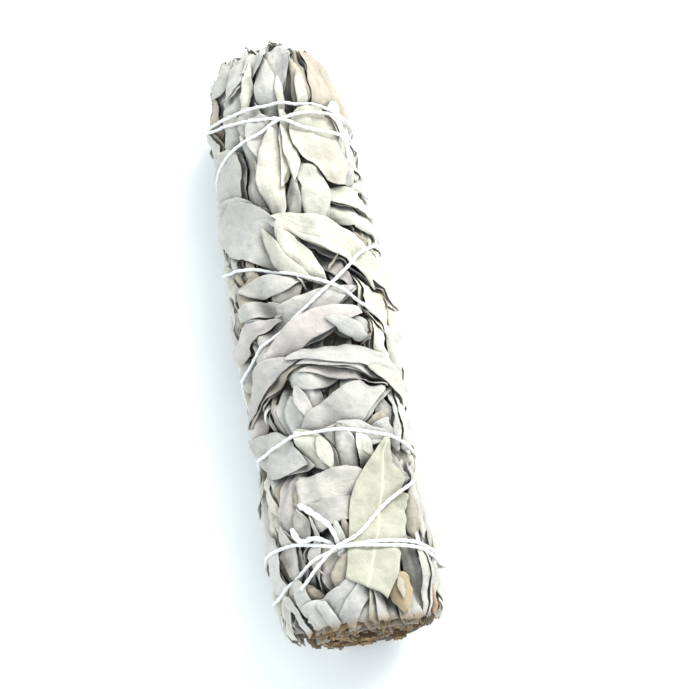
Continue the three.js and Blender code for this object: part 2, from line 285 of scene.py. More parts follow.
# How wide each kind of leaf is, from 0 at its base to 1 at its tip.
FORMS = {
    "lance": lambda u: np.sin(np.pi * np.clip(u, 0, 1) ** 0.9) ** 0.85,
    "tip": lambda u: (1 - u**2.2) ** 0.8 * (0.78 + 0.22 * np.sin(np.pi * u)),
    "oval": lambda u: 2.2 * u**0.45 * np.clip(1 - u, 0, 1) ** 0.75,
    "strip": lambda u: (1 - np.abs(2 * u - 1) ** 3.5) ** 0.8 * (0.85 + 0.15 * np.sin(np.pi * u)),
    "torn": lambda u: ((0.64 + 0.74 * u - 0.1 * u**2)
                       * np.cos(np.clip(u - 0.42, 0, 1) * np.pi / 1.17) ** 1.15),
    "stub": lambda u: (1 - u**8) ** 0.5 * (0.92 + 0.08 * np.cos(5 * u)),
}
ROW_STEP = 0.75  # between a leaf's rows of points
COLUMNS = [(3, 7), (5, 9), (9, 13), (math.inf, 17)]  # points across a leaf narrower than this
CLING = 0.35  # how near an edge beneath it a leaf starts to rise over it
GAP = 0.04  # left between two leaves
CREASE = 0.26  # how deep a crease is
TILT = 0.07  # how steeply a leaf may lie to one side
RIB_HEIGHT = 0.16
RIB_HALF = 0.55


class Leaf:
    """One leaf: where it lies, its outline, and how it is folded."""

    def __init__(self, piece, base, tip, width, form="lance", tone="grey", bow=0.0, skew=0.0,
                 thick=None, crown=0.15, lift=0.4, wave=0.3, stiff=10, fold=0.0, ragged=0.8,
                 slant=0.0):
        self.piece, self.base, self.tip, self.width = piece, base, tip, width
        self.form, self.tone = form, tone
        self.bow = bow  # how far its middle bends to its right, seen from outside
        self.skew = skew  # how much wider its right half is
        self.thick = thick  # None for the usual thickness
        self.crown = crown  # how far its middle stands over its edges
        self.lift = lift  # how far its edges flutter up
        self.wave = wave  # how high its ripples are
        self.stiff = stiff  # how many times it is smoothed over what lies beneath
        self.fold = fold  # how sharply it is folded along its midrib, below 0 for a trough
        self.ragged = ragged  # how torn its broken ends are
        self.slant = slant  # how far its broken ends are cut askew

    def plan(self, rng):
        """Girth and length of every point, the leaf's own coordinates, and its half width."""
        start = np.array([along(self.base[0]), self.base[1]], float)
        end = np.array([along(self.tip[0]), self.tip[1]], float)
        length = np.linalg.norm(end - start)
        rows = int(np.clip(length / ROW_STEP, 12, 70)) + 1
        cols = next(count for limit, count in COLUMNS if self.width < limit)
        u = np.linspace(0, 1, rows)[:, None]
        v = np.sin(np.linspace(-1, 1, cols) * math.pi / 2)[None, :]
        ahead = (end - start) / length
        side = np.array([-ahead[1], ahead[0]])
        sway = Waves(rng, 0.9)
        rough = 0.3 if self.form == "torn" else 1
        bend = (self.bow + 0.03 * rough * length * sway(u * 2)) * np.sin(np.pi * u)
        turn = np.gradient(bend[:, 0], u[:, 0])[:, None] / length
        large, small = Waves(rng, 0.35), Waves(rng, 0.1)
        nibble = rough * (0.07 * large(u, 2 * np.sign(v)) + 0.03 * small(u, 2 * np.sign(v)))
        half = self.width / 2 * np.maximum(FORMS[self.form](u), 0.05) * (1 + nibble)
        share = np.where(v > 0, 1 + self.skew, 1 - self.skew)
        off = v * half * share
        broken = (1 - u) ** 8 + (u**8 if self.form in ("strip", "stub") else 0)
        torn = self.ragged * Waves(rng, 1.0 + self.width / 4)(off, 9.0 * u) + self.slant * off
        rough_end = torn * broken
        s = start[0] + ahead[0] * (u * length + rough_end - turn * off) + side[0] * (bend + off)
        y = start[1] + ahead[1] * (u * length + rough_end - turn * off) + side[1] * (bend + off)
        return s, y, u + 0 * v, v + 0 * u, half + 0 * v, length

    def shaped(self, height, rng, s, y, u, v, half, length):
        """Adds the leaf's own ripples, lifted edges, crown, fold, creases and tilt to a height."""
        ripple = Waves(rng, 5.5)(s, y) + 0.6 * Waves(rng, 2.4)(s, y) + 0.25 * Waves(rng, 1.3)(s, y)
        flutter = Waves(rng, 0.3)(u, 3 * np.sign(v)) + 0.35
        height = height + self.wave * (ripple + 1.2) * (0.3 + 0.7 * np.abs(v))
        height = height + self.lift * np.clip(flutter, 0, None) * np.abs(v) ** 3
        height = height + self.crown * (1 - v**2)
        swell = np.sin(np.pi * u) ** 0.7
        if self.fold > 0:
            height = height + self.fold * swell * (1 - np.abs(v))
        else:
            height = height - self.fold * swell * np.abs(v)
        crease = np.abs(Waves(rng, 6.0)(2.2 * v * half, 0.6 * u * length))
        height = height + CREASE * np.clip(crease / 0.3, 0, 1)
        return height + rng.uniform(0, TILT) * half * (1 + rng.choice([-1, 1]) * v)

    def lay(self, bed, rng):
        """Drapes the leaf over the bed. Keeps its underside and top heights and adds it to the bed."""
        s, y, u, v, half, length = self.plan(rng)
        need = bed.highest(s, y, CLING)
        height = need
        for _ in range(self.stiff):
            height = np.maximum(need, blurred(height))
        height = self.shaped(height, rng, s, y, u, v, half, length)
        rib = RIB_HEIGHT * np.exp(-((v * half / RIB_HALF) ** 2)) * (1 - u) ** 0.4 * (self.width > 5)
        rim = 0.2 + 0.8 * np.sqrt(1 - v**6)
        ends = np.clip(np.minimum(u, 1 - u) * length / 0.7, 0, 1)
        depth = (self.thick or wanted("leaf")) * rim * (0.45 + 0.55 * np.sqrt(1 - (1 - ends) ** 2))
        self.s, self.y, self.u, self.v, self.half, self.length = s, y, u, v, half, length
        self.under = height + GAP
        self.top = height + GAP + depth + rib
        self.press(bed)

    def press(self, bed):
        """Adds the leaf's top to the bed, between its points too."""
        rows, cols = self.s.shape
        fine_r = np.linspace(0, rows - 1, rows * 4)
        fine_c = np.linspace(0, cols - 1, cols * 5)
        r = np.minimum(fine_r.astype(int), rows - 2)[:, None]
        c = np.minimum(fine_c.astype(int), cols - 2)[None, :]
        fr, fc = fine_r[:, None] - r, fine_c[None, :] - c

        def between(grid):
            near = grid[r, c] * (1 - fr) + grid[r + 1, c] * fr
            far = grid[r, c + 1] * (1 - fr) + grid[r + 1, c + 1] * fr
            return near * (1 - fc) + far * fc

        bed.cover(between(self.s), between(self.y), between(self.top))


def known_leaves():
    """The leaves that can be told apart, from the lowest layer to the topmost.

    Each is named after the solid it stands for, which several can share, and runs from its base
    to its tip, given as (angle, y).
    """
    return [
        # far end, upright tips
        Leaf("tip_leaf_2", (88, 50), (92, 86), 7, "lance", "cream", fold=0.5),
        Leaf("tip_leaf_1", (46, 50), (46, 90), 10, "oval", fold=0.4),
        Leaf("tip_leaf_4", (58, 48), (54, 80), 7, fold=-0.5),
        Leaf("tip_leaf_4", (70, 50), (64, 86), 8, "lance", "cream", fold=0.6),
        Leaf("tip_leaf_5", (122, 55), (116, 93), 9, "lance", "tan"),
        Leaf("tip_leaf_3", (150, 55), (138, 88), 12, "oval", lift=0.6),
        Leaf("tip_leaf_3", (168, 58), (160, 84), 8, "lance", "tan"),
        Leaf("tip_leaf_2", (78, 60), (84, 92), 11, "lance", "cream", lift=0.8),
        Leaf("tip_leaf_1", (6, 58), (14, 91), 11, "oval", "cream", lift=0.6),
        Leaf("tip_leaf_4", (64, 62), (58, 88), 3.6, "lance", "tan", fold=1.2),
        Leaf("tip_leaf_4", (71, 60), (68, 86), 3.2, "lance", "tan", fold=1.2),
        Leaf("tip_leaf_1", (26, 55), (31, 95), 14, "oval", "tan", lift=0.5),
        Leaf("tip_leaf_2", (108, 58), (103, 92), 11, lift=0.8),
        Leaf("tip_leaf_5", (132, 60), (127, 84), 10, "oval", lift=0.8),
        Leaf("tip_leaf_4", (92, 66), (74, 94), 9, lift=0.9, bow=-1),
        Leaf("tip_leaf_2", (97, 58), (98, 82), 8, "oval", lift=0.7),
        Leaf("tip_leaf_1", (44, 54), (52, 88), 10, "oval", "tan", lift=0.2),
        Leaf("tip_leaf_3", (136, 70), (112, 88), 6, fold=0.9, bow=1),
        Leaf("tip_leaf_2", (112, 76), (92, 86), 6, "torn", fold=-0.9, ragged=1.4),
        Leaf("tip_leaf_2", (122, 64), (108, 80), 3.5, "lance", "cream", fold=0.9),
        Leaf("tip_leaf_4", (88, 58), (86, 73), 2.6, "strip", "cream", crown=0.9),
        Leaf("tip_leaf_4", (68, 57), (70, 74), 3.2, "strip", "cream", crown=0.6),
        # upper third
        Leaf("upper_leaf_3", (168, 66), (162, 40), 10),
        Leaf("upper_leaf_3", (140, 66), (133, 50), 9, "strip"),
        Leaf("upper_leaf_2", (118, 64), (112, 44), 10, "tip"),
        Leaf("upper_leaf_2", (126, 56), (132, 20), 9, bow=-1.5),
        Leaf("upper_leaf_3", (153, 55), (144, 35), 13, "oval", lift=0.8),
        Leaf("upper_leaf_2", (108, 61), (106, 43), 8, "tip", lift=0.6, bow=1),
        Leaf("upper_leaf_2", (148, 37), (136, 24), 4, "strip", crown=0.5),
        Leaf("upper_leaf_2", (117, 47), (113, 36), 1.8, "strip", "tan", fold=0.9, ragged=1.6),
        Leaf("upper_leaf_2", (115, 43), (117, 35), 1.2, "strip", "bract", fold=0.8),
        Leaf("upper_leaf_2", (120, 32), (118, 21), 5, "oval", lift=0.6),
        Leaf("shoulder_leaf_1", (74, 41), (4, 37), 7.5, "lance", "cream", crown=0.4, bow=-1),
        Leaf("shoulder_leaf_2", (72, 27), (2, 23), 8, "lance", "cream", crown=0.4, bow=-1.5),
        Leaf("shoulder_leaf_1", (78, 33), (6, 30), 7.5, "lance", "cream", crown=0.5, bow=-1),
        Leaf("shoulder_leaf_2", (84, 19), (20, 17), 5.5, "strip", "tan", crown=0.3),
        Leaf("upper_leaf_6", (99, 26), (104, 14), 3, "strip", "tan", crown=0.4),
        Leaf("upper_leaf_4", (30, 62), (24, 40), 11, "oval", "cream"),
        Leaf("upper_leaf_1", (84, 49), (76, 18), 8.5, "lance", "cream", bow=-2.5, lift=0.2),
        Leaf("upper_leaf_6", (88, 39), (106, 16), 5, "lance", "cream", bow=-1, crown=0.2),
        Leaf("upper_leaf_5", (95, 60), (104, 21), 8, "lance", "cream", bow=1.5, lift=0.2),
        Leaf("upper_leaf_5", (83, 61), (88, 36), 6.5, "tip", "cream", bow=-0.7, lift=0.2),
        Leaf("upper_leaf_4", (66, 62), (46, 36), 16, "oval", "cream", bow=1, lift=0.3),
        Leaf("tip_leaf_1", (36, 66), (40, 52), 6, "oval", "cream"),
        Leaf("shoulder_leaf_2", (50, 17.5), (30, 13), 1.8, "strip", "bract", fold=0.8, ragged=1.6),
        Leaf("upper_leaf_6", (113, 22), (109, 11), 1.6, "strip", "bract", fold=0.8, ragged=1.4),
        # the waist, left of the twine's crossing
        Leaf("waist_leaf_2", (176, 36), (103, 9), 15.5, bow=-3, stiff=18, lift=0.25, fold=-0.5),
        Leaf("waist_leaf_3", (148, 8), (136, -9), 6, "lance", "tan", crown=0.4),
        Leaf("waist_leaf_3", (122, 1), (96, 4), 7, "oval", "cream", lift=0.5),
        Leaf("waist_leaf_3", (160, 2), (112, -1), 5, lift=0.9, wave=0.5),
        Leaf("waist_leaf_3", (146, 8), (88, 6), 6.5, bow=1.2, lift=0.6),
        Leaf("waist_leaf_4", (148, -17), (58, 2), 11, bow=-2, stiff=18, fold=-0.4),
        Leaf("waist_leaf_5", (58, -4), (54, -12), 6, "oval", lift=0.5),
        Leaf("waist_leaf_5", (78, -9), (44, -10), 6, "oval", lift=0.5),
        Leaf("waist_leaf_5", (40, -3), (36, -20), 6.5, "lance", "cream"),
        Leaf("waist_leaf_1", (22, 10), (14, -24), 9, "lance", "cream", lift=0.3),
        Leaf("waist_leaf_6", (172, -8), (116, -5), 6.5, "tip", "pink", bow=-1, lift=0.6),
        Leaf("waist_leaf_5", (152, -21), (46, -4), 8, "lance", "pink", bow=-1.8, stiff=18,
             skew=-0.2, fold=0.5),
        Leaf("waist_leaf_5", (84, -8), (50, -13), 4, "strip", crown=0.4),
        Leaf("waist_leaf_1", (46, 9), (30, -12), 7, "lance", "cream", fold=0.5),
        Leaf("waist_leaf_1", (27, 4), (24, -7), 1.6, "strip", "bract", fold=0.8, ragged=1.4),
        # sweeping leaves over the right shoulder
        Leaf("waist_leaf_1", (108, 26), (4, 0), 11, "lance", "cream", bow=-2, stiff=20, lift=0.2,
             fold=-0.4),
        Leaf("waist_leaf_1", (104, 21), (74, 3.5), 7.5, "lance", "cream", bow=2, fold=0.9),
        Leaf("waist_leaf_1", (98, 20), (34, 3), 2.6, "lance", "cream", bow=-1, crown=0.6),
        Leaf("waist_leaf_2", (119, 24), (88, 4.5), 4.6, "lance", "cream", bow=2.4, crown=0.5),
        # lower waist
        Leaf("waist_leaf_8", (112, -20), (118, -40), 6, lift=0.5),
        Leaf("waist_leaf_8", (128, -22), (124, -42), 5.5, crown=0.3),
        Leaf("waist_leaf_8", (104, -22), (106, -38), 7),
        Leaf("waist_leaf_8", (126, -20.5), (74, -22.5), 9, fold=0.4, bow=1),
        Leaf("waist_leaf_8", (120, -27), (116, -42), 6, fold=-0.5),
        Leaf("waist_leaf_8", (114, -25), (106, -36), 3.6, fold=-0.5),
        Leaf("waist_leaf_9", (66, -31), (90, -39.5), 5.5, fold=0.5, bow=1),
        Leaf("waist_leaf_9", (62, -31), (80, -41.5), 5, fold=0.5),
        Leaf("waist_leaf_9", (58, -30), (70, -42), 4.6, fold=-0.5),
        Leaf("waist_leaf_9", (54, -29), (60, -42.5), 4.2, fold=0.6),
        Leaf("waist_leaf_9", (49, -27), (51, -43), 4.2, fold=0.5),
        Leaf("waist_leaf_9", (43, -26), (43, -43), 4, fold=0.6),
        Leaf("waist_leaf_9", (26, -22), (38, -45), 4.5, crown=0.6),
        Leaf("waist_leaf_9", (16, -20), (28, -46), 4.5, crown=0.6),
        Leaf("waist_leaf_9", (112, -43), (38, -25.5), 13.5, "tip", bow=-1.8, stiff=18, lift=0.25, fold=0.4),
        Leaf("waist_leaf_8", (172, -36), (120, -19.5), 5, "lance", "pink", bow=-3.5, crown=0.4),
        Leaf("waist_leaf_8", (110, -21.5), (36, -26), 3.6, "strip", "pink", bow=-1, crown=0.2),
        Leaf("waist_leaf_6", (174, -29), (106, -17.5), 7.5, bow=-3.5, fold=0.5),
        Leaf("waist_leaf_8", (106, -19.5), (30, -24), 4, "lance", "cream", bow=-1.5, crown=0.2),
        Leaf("waist_leaf_7", (118, -17), (6, -25), 6.8, bow=-2.8, stiff=20, fold=0.4),
        Leaf("waist_leaf_7", (58, -22), (2, -31), 4.5, "lance", "cream", bow=-1.5, crown=0.4),
        # lower third
        Leaf("lower_leaf_2", (44, -36), (66, -49), 8, lift=0.3),
        Leaf("lower_leaf_2", (100, -38.5), (64, -47.5), 7.5, bow=-1, fold=0.3),
        Leaf("lower_leaf_2", (90, -37.5), (44, -41.5), 6, bow=1.2, fold=0.4),
        Leaf("lower_leaf_2", (80, -53), (89, -38.5), 6, fold=0.5),
        Leaf("lower_leaf_2", (66, -51), (76, -40), 5, "lance", "cream", fold=0.4),
        Leaf("lower_leaf_5", (148, -38), (136, -62), 5, crown=0.4),
        Leaf("lower_leaf_4", (136, -44), (146, -64), 4.5, "strip", "tan", crown=0.3),
        Leaf("lower_leaf_1", (120, -37), (92, -51), 8, "lance", "cream", fold=-0.5, wave=0.4),
        Leaf("lower_leaf_1", (104, -40), (97, -50), 4, "lance", "cream", fold=0.5),
        Leaf("lower_leaf_4", (139, -63), (123, -45), 6.5, "tip", "pink", skew=0.2),
        Leaf("lower_leaf_3", (126, -54), (72, -52), 9, "stub", bow=1, stiff=16, wave=0.4),
        Leaf("lower_leaf_3", (118, -62), (82, -60), 8, "stub", stiff=16, wave=0.4),
        Leaf("lower_leaf_1", (168, -33), (114, -47), 12, bow=1.5, stiff=16),
        Leaf("lower_leaf_3", (96, -64), (92, -73), 2.2, "strip", "tan", crown=0.6),
        Leaf("lower_leaf_3", (101, -64), (98, -74), 2.2, "strip", crown=0.6),
        Leaf("lower_leaf_4", (120, -60), (122, -80), 5, crown=0.4),
        Leaf("lower_leaf_4", (128, -58), (130, -72), 5, crown=0.4),
        Leaf("lower_leaf_8", (146, -60), (142, -78), 6, "lance", "pink", crown=0.3),
        Leaf("lower_leaf_6", (22, -50), (10, -88), 12, "lance", "cream", stiff=16, lift=0.6, fold=0.5),
        Leaf("lower_leaf_6", (44, -46), (40, -84), 4, "strip", crown=0.8),
        Leaf("lower_leaf_6", (34, -48), (30, -80), 4, "strip", crown=0.8),
        Leaf("lower_leaf_6", (26, -47), (23, -66), 2.4, "strip", "cream", fold=1.0),
        Leaf("lower_leaf_6", (31, -52), (28, -74), 2.2, "strip", fold=1.1),
        Leaf("lower_leaf_6", (38, -50), (35, -70), 2.2, "strip", fold=1.1),
        Leaf("lower_leaf_6", (42, -58), (40, -80), 2, "strip", "tan", fold=1.1),
        Leaf("lower_leaf_6", (24, -88), (27, -68), 2.4, "strip", fold=1.1),
        Leaf("lower_leaf_6", (45, -90), (50, -62), 3, "stub", fold=0.9),
        Leaf("lower_leaf_6", (40, -90), (44, -68), 3, "stub", fold=0.9),
        Leaf("lower_leaf_6", (34, -90), (38, -70), 3.4, "stub", fold=1.0),
        Leaf("lower_leaf_8", (150, -78), (120, -82.5), 6, "oval", "tan", lift=0.6),
        Leaf("lower_leaf_5", (164, -60), (158, -88), 7, lift=0.5),
        Leaf("lower_leaf_8", (132, -90.2), (138, -76), 5, "stub", fold=0.7),
        Leaf("lower_leaf_8", (144, -90.4), (150, -79), 4, "stub", fold=0.7),
        Leaf("lower_leaf_7", (88, -71), (110, -83), 7.5, "lance", "tan", fold=0.4),
        Leaf("lower_leaf_7", (96, -90.4), (84, -80), 5, "stub", fold=0.6, bow=1),
        Leaf("lower_leaf_7", (70, -90.6), (74, -80), 4.5, "stub", fold=-0.6),
        Leaf("lower_leaf_7", (134, -86.5), (86, -79), 6.5, "stub", bow=1.5, stiff=16),
        Leaf("lower_leaf_7", (108, -90), (82, -79), 5, "stub", fold=0.5),
        Leaf("lower_leaf_7", (52, -90.8), (56, -79), 5, "stub", fold=0.7),
        Leaf("lower_leaf_7", (116, -90.4), (122, -83), 3.6, "stub", fold=0.6),
        Leaf("lower_leaf_7", (86, -90.8), (82, -81), 3.5, "stub", "tan", fold=-0.6),
        Leaf("lower_leaf_7", (78, -90.6), (80, -80), 3.6, "stub", fold=0.7),
        Leaf("lower_leaf_7", (60, -90.8), (64, -79), 3.8, "stub", fold=0.6),
        Leaf("lower_leaf_7", (66, -79), (62, -89.6), 6, "oval", "bract", crown=0.6, lift=0.9, fold=0.6),
        Leaf("lower_leaf_7", (67, -80.5), (65, -86.5), 1.8, "lance", "tan", fold=0.5),
        Leaf("green_leaf", (88, -82.5), (51, -41), 16.5, "torn", "green", stiff=22, bow=0.7,
             lift=0.25, thick=0.4, fold=0.35, ragged=1.2, slant=-0.28),
    ]


# How many leaves there are of each kind that lies by chance.
INNER_LEAVES = 110
FILLING_LEAVES = 260
SIDE_STRIPS = 220
END_RINGS = 6
END_LEAVES = 15  # in each ring
LOW_SCRAPS = 90
TOP_SCRAPS = 26
CRUMB_EVERY = 3  # leaves on top, for one crumb
GOLDEN_ANGLE = 137.5


def lowest(bed, spots):
    """The place where the leaves lie lowest so far, out of several."""
    return min(spots, key=lambda spot: bed.sample(along(spot[0]), spot[1]))


def inner_leaves(rng):
    """The pressed leaves inside, all round."""
    for k in range(INNER_LEAVES):
        angle = (k * GOLDEN_ANGLE) % 360
        y = CUT_END + 2 + (k * 29) % 150
        yield Leaf(sprig_at(angle), (angle, y),
                   (angle + rng.uniform(-14, 14), min(y + rng.uniform(26, 38), POLE - 2)),
                   rng.uniform(8, 13), tone="inner", lift=0.3)


SIDE_HEIGHT = 0.66  # where the sine of the angle is under this, a leaf lies on one of the two sides
UNDER_HEIGHT = -0.35  # and under this, it belongs to a flank or the underside


def filling_leaf(rng, bed):
    """An outer leaf at the lowest of several places: narrow and lengthwise on the two sides."""
    spots = [(rng.uniform(0, 360), rng.uniform(CUT_END + 10, TIP_END - 4)) for _ in range(30)]
    angle, y = lowest(bed, spots)
    height = math.sin(math.radians(angle))
    side = abs(height) < SIDE_HEIGHT
    length = rng.uniform(20, 36)
    lean = rng.normal(0, 5 if side else 16)
    cut = y - length / 2 < CUT_END + 4
    way = 1 if cut else rng.choice([-1, 1])
    ends = np.clip([y - length / 2 * way, y + length / 2 * way], CUT_END + 0.6, POLE - 4)
    piece = under_piece(angle, y) if height < UNDER_HEIGHT else sprig_at(angle)
    return Leaf(piece, (angle - lean, ends[0]), (angle + lean, ends[1]),
                rng.uniform(3.0, 5.5) if side else rng.uniform(4.5, 9),
                "stub" if cut else rng.choice(["lance", "tip", "oval"]), bow=rng.normal(0, 1.0),
                tone=rng.choice(["grey", "grey", "grey", "cream", "tan", "pink"]),
                crown=rng.uniform(0.1, 0.5), fold=rng.choice([0.8, -0.7, 0, 1.1]),
                ragged=0.35 if cut else 0.8,
                lift=rng.uniform(0.2, 0.5) if side else rng.uniform(0.3, 0.9))


def side_strip(rng, bed):
    """A narrow folded leaf lying lengthwise on a flank that the light rakes."""
    middle = rng.choice([162, 18]) + rng.normal(0, 13)
    spots = [(middle + rng.uniform(-8, 8), rng.uniform(CUT_END + 12, TIP_END - 30)) for _ in range(12)]
    angle, y = lowest(bed, spots)
    length, lean = rng.uniform(14, 30), rng.normal(0, 5)
    ends = np.clip([y - length / 2, y + length / 2], CUT_END + 0.6, TIP_END)
    form = "stub" if ends[0] < CUT_END + 3 else rng.choice(["lance", "strip"])
    return Leaf(sprig_at(angle), (angle - lean, ends[0]), (angle + lean, ends[1]),
                rng.uniform(1.8, 3.8), form, bow=rng.normal(0, 0.8),
                tone=rng.choice(["grey", "grey", "cream", "tan"]),
                crown=0.2, fold=rng.choice([0.9, 1.2, -0.9]), lift=0.2,
                ragged=0.35 if form == "stub" else 0.8)


def crumb(rng, bed):
    """A thin scrap of broken leaf or leaf stalk caught in a low place on the upper side."""
    spots = [(rng.uniform(30, 150), rng.uniform(CUT_END + 9, TIP_END - 12)) for _ in range(60)]
    angle, y = lowest(bed, spots)
    turn, length = rng.uniform(0, math.pi), rng.uniform(3, 6.5)
    reach = (math.degrees(length * math.cos(turn) / GIRTH_R), length * math.sin(turn))
    return Leaf(sprig_at(angle), (angle, y), (angle + reach[0], y + reach[1]),
                rng.uniform(0.5, 0.9), rng.choice(["strip", "lance"]), thick=0.3, lift=0.3,
                tone=rng.choice(["inner", "tan", "grey"]), fold=0.3)


def tip_scrap(rng, bed, angles, start, length):
    """A broken, folded end of a leaf among the tips at the far end, starting past a Y."""
    spots = [(rng.uniform(*angles), start + rng.uniform(0, 22)) for _ in range(6)]
    angle, y = lowest(bed, spots)
    length, lean = length * rng.uniform(0.7, 1.3), rng.normal(0, 16)
    under = math.sin(math.radians(angle)) < UNDER_HEIGHT
    piece = under_piece(angle, y) if under else sprig_at(angle)
    return Leaf(piece, (angle - lean / 2, y), (angle + lean / 2, min(y + length, POLE - 1)),
                rng.uniform(2.5, 6), rng.choice(["lance", "oval", "strip", "tip"]),
                bow=rng.normal(0, 0.8), tone=rng.choice(["grey", "cream", "tan", "pink", "grey"]),
                fold=rng.choice([0.9, -0.8, 1.2]), lift=0.7, wave=0.4, ragged=1.4)


def end_leaves(rng):
    """Leaf tips closing the rounded far end, the ones nearest its middle first."""
    for ring in reversed(range(END_RINGS)):
        for k in range(END_LEAVES):
            angle = (k + 0.5 * (ring % 2)) * 360 / END_LEAVES + rng.uniform(-8, 8)
            tip = min(rng.uniform(84, 88) + 3 * ring, POLE - 1.5)
            yield Leaf(sprig_at(angle), (angle, tip - rng.uniform(17, 24)),
                       (angle + rng.uniform(-18, 18), tip), rng.uniform(6, 10),
                       rng.choice(["lance", "oval", "tip"]), lift=0.6, wave=0.4,
                       fold=rng.choice([0.8, -0.7, 1.1]), bow=rng.normal(0, 0.8),
                       tone=rng.choice(["grey", "grey", "tan", "cream", "pink"]))


def echo(leaf, rng):
    """The folded-under half of a leaf, or the next leaf of its pair, just showing beside it."""
    turn, shift = rng.normal(0, 3), rng.normal(0, 1.4)
    base = (leaf.base[0] + turn, max(leaf.base[1] + shift, CUT_END + 1.5))
    tip = (leaf.tip[0] + turn + rng.normal(0, 3), max(leaf.tip[1] + shift, CUT_END + 1.5))
    own = leaf.tone if leaf.tone != "green" else "grey"
    tone = rng.choice([own, own, "grey", "tan"])
    return Leaf(leaf.piece, base, tip, leaf.width * rng.uniform(0.75, 0.95), leaf.form,
                bow=leaf.bow, tone=tone, crown=leaf.crown, lift=0.5)


@functools.lru_cache
def bunch():
    """Lays every leaf, then the twine, and returns them with the bed they make."""
    rng = np.random.default_rng(SEED)
    bed = Bed()
    leaves = []

    def add(leaf):
        leaf.lay(bed, rng)
        leaves.append(leaf)

    for leaf in inner_leaves(rng):
        add(leaf)
    for _ in range(FILLING_LEAVES):
        add(filling_leaf(rng, bed))
    for _ in range(SIDE_STRIPS):
        add(side_strip(rng, bed))
    for leaf in end_leaves(rng):
        add(leaf)
    for _ in range(LOW_SCRAPS):
        add(tip_scrap(rng, bed, (0, 360), 62, 13))
    for number, leaf in enumerate(known_leaves()):
        if leaf.width > 5 and leaf.form not in ("strip", "torn"):
            add(echo(leaf, rng))
        if number % CRUMB_EVERY == 1:
            add(crumb(rng, bed))
        add(leaf)
    for _ in range(TOP_SCRAPS):
        add(tip_scrap(rng, bed, (15, 165), 71, 8))
    bed.leaf_height = bed.height.copy()
    twig = Strand(TWIG, "twig")
    strands = [Strand(route) for route in WINDING]
    for strand in (twig, *strands):
        strand.lay(bed)
    return leaves, strands, twig, bed


# ---------------------------------------------------------------- twine

TWIG = [(31.5, -77), (30, -83), (28.5, -89.5)]
KNOT = (103, -71)

# The twine's way round the bunch through [angle, y]. The angle keeps falling as the twine goes
# over the top to the right and back underneath.
WINDING = [
    # two turns round the cut end
    [(103, -71), (75, -70.5), (50, -71.3), (18, -74), (-90, -76), (-193, -78), (-234, -73.5),
     (-257, -71)],
    [(103, -71), (75, -71.8), (50, -72.7), (18, -75.4), (-90, -70), (-180, -65.5), (-223, -66.5),
     (-257, -71)],
    # from under a leaf, over the knot and away to the right
    [(134, -79), (121, -76), (107, -71.5), (89, -69), (77, -65), (63, -60.5), (38, -55),
     (27, -50.5), (15, -45.5), (-90, -42), (-180, -38.5), (-205, -39.5), (-240, -38.4),
     (-265, -39.3), (-280, -40.8), (-306, -41.5), (-328, -43), (-343, -45), (-450, -30),
     (-552, -16)],
    # up over the waist to the tips
    [(-552, -16), (-570, -12), (-599, -8), (-613, -5), (-628, -2), (-644.5, 2.5), (-662, 8.5),
     (-672, 13), (-700, 19), (-810, 36), (-923, 50.5), (-945, 52.5), (-960, 53), (-975, 55),
     (-985, 57.5), (-1020, 60), (-1060, 61.5), (-1170, 65), (-1260, 68.5)],
    # round the tips
    [(-1260, 68.5), (-1305, 64), (-1350, 63), (-1395, 62.5), (-1425, 61), (-1530, 64), (-1620, 67),
     (-1680, 60), (-1705, 58.3), (-1725, 55.3), (-1753, 53.7), (-1764, 51), (-1785, 45),
     (-1890, 33), (-1980, 20)],
    # down over the waist, to end tucked in underneath
    [(-1980, 20), (-2038, 11.5), (-2053, 8.5), (-2068, 5), (-2084.5, 2.5), (-2100, -0.5),
     (-2123, -6), (-2135, -9), (-2250, -35), (-2288, -64)],
]

# The two ends of the twine stand off the leaves: [angle, y, height].
TAILS = [
    [(103, -71, 0.6), (102, -68, 1.6), (105, -65, 2.2), (111, -62.5, 2.4), (117, -60, 2.2),
     (122, -58, 2.2)],
    [(103, -71, 0.6), (109, -68.5, 1.6), (118, -67.3, 1.8), (128, -67.3, 1.2), (133, -65.8, 1.2),
     (132, -63, 1.6)],
]


STRAND_STEP = 0.5  # between the points of a strand
STRAND_SINK = 0.15  # how far it presses into the leaf it lies on


class Strand:
    """A stretch of twine, or a twig, drawn tight over the leaves."""

    def __init__(self, route, kind="twine"):
        self.kind, self.radius = kind, wanted(kind) / 2
        angles, ys = np.array(route, float).T
        gaps = np.hypot(along(np.diff(angles)), np.diff(ys))
        dist = np.concatenate([[0], np.cumsum(gaps)])
        steps = np.linspace(0, dist[-1], int(dist[-1] / STRAND_STEP) + 1)
        self.s = smooth_line(np.interp(steps, dist, along(angles)), 40)
        self.y = smooth_line(np.interp(steps, dist, ys), 40)

    def lay(self, bed):
        """Rests the strand on the bed, bridging the hollows, and adds it to the bed."""
        need = bed.highest(self.s, self.y, 0.45)
        height = need
        for _ in range(70):
            p = np.pad(height, 1, mode="edge")
            height = np.maximum(need, (p[:-2] + 2 * p[1:-1] + p[2:]) / 4)
        height = smooth_line(height, 12) - STRAND_SINK
        self.height = height + self.radius
        if self.kind == "twine":
            bed.trace(self.s, self.y)
        for off in np.linspace(-0.8, 0.8, 6) * self.radius:
            for move in ((0, off), (off, 0)):
                bed.cover(self.s + move[0], self.y + move[1], height + 1.9 * self.radius)

    def path(self):
        """The middle of the strand in millimetres, kept clear of the floor."""
        line = place(np.degrees(self.s / GIRTH_R), self.y, pressed(self.s, self.y, self.height))
        line[:, 2] = np.maximum(line[:, 2], self.radius + 0.1)
        return line


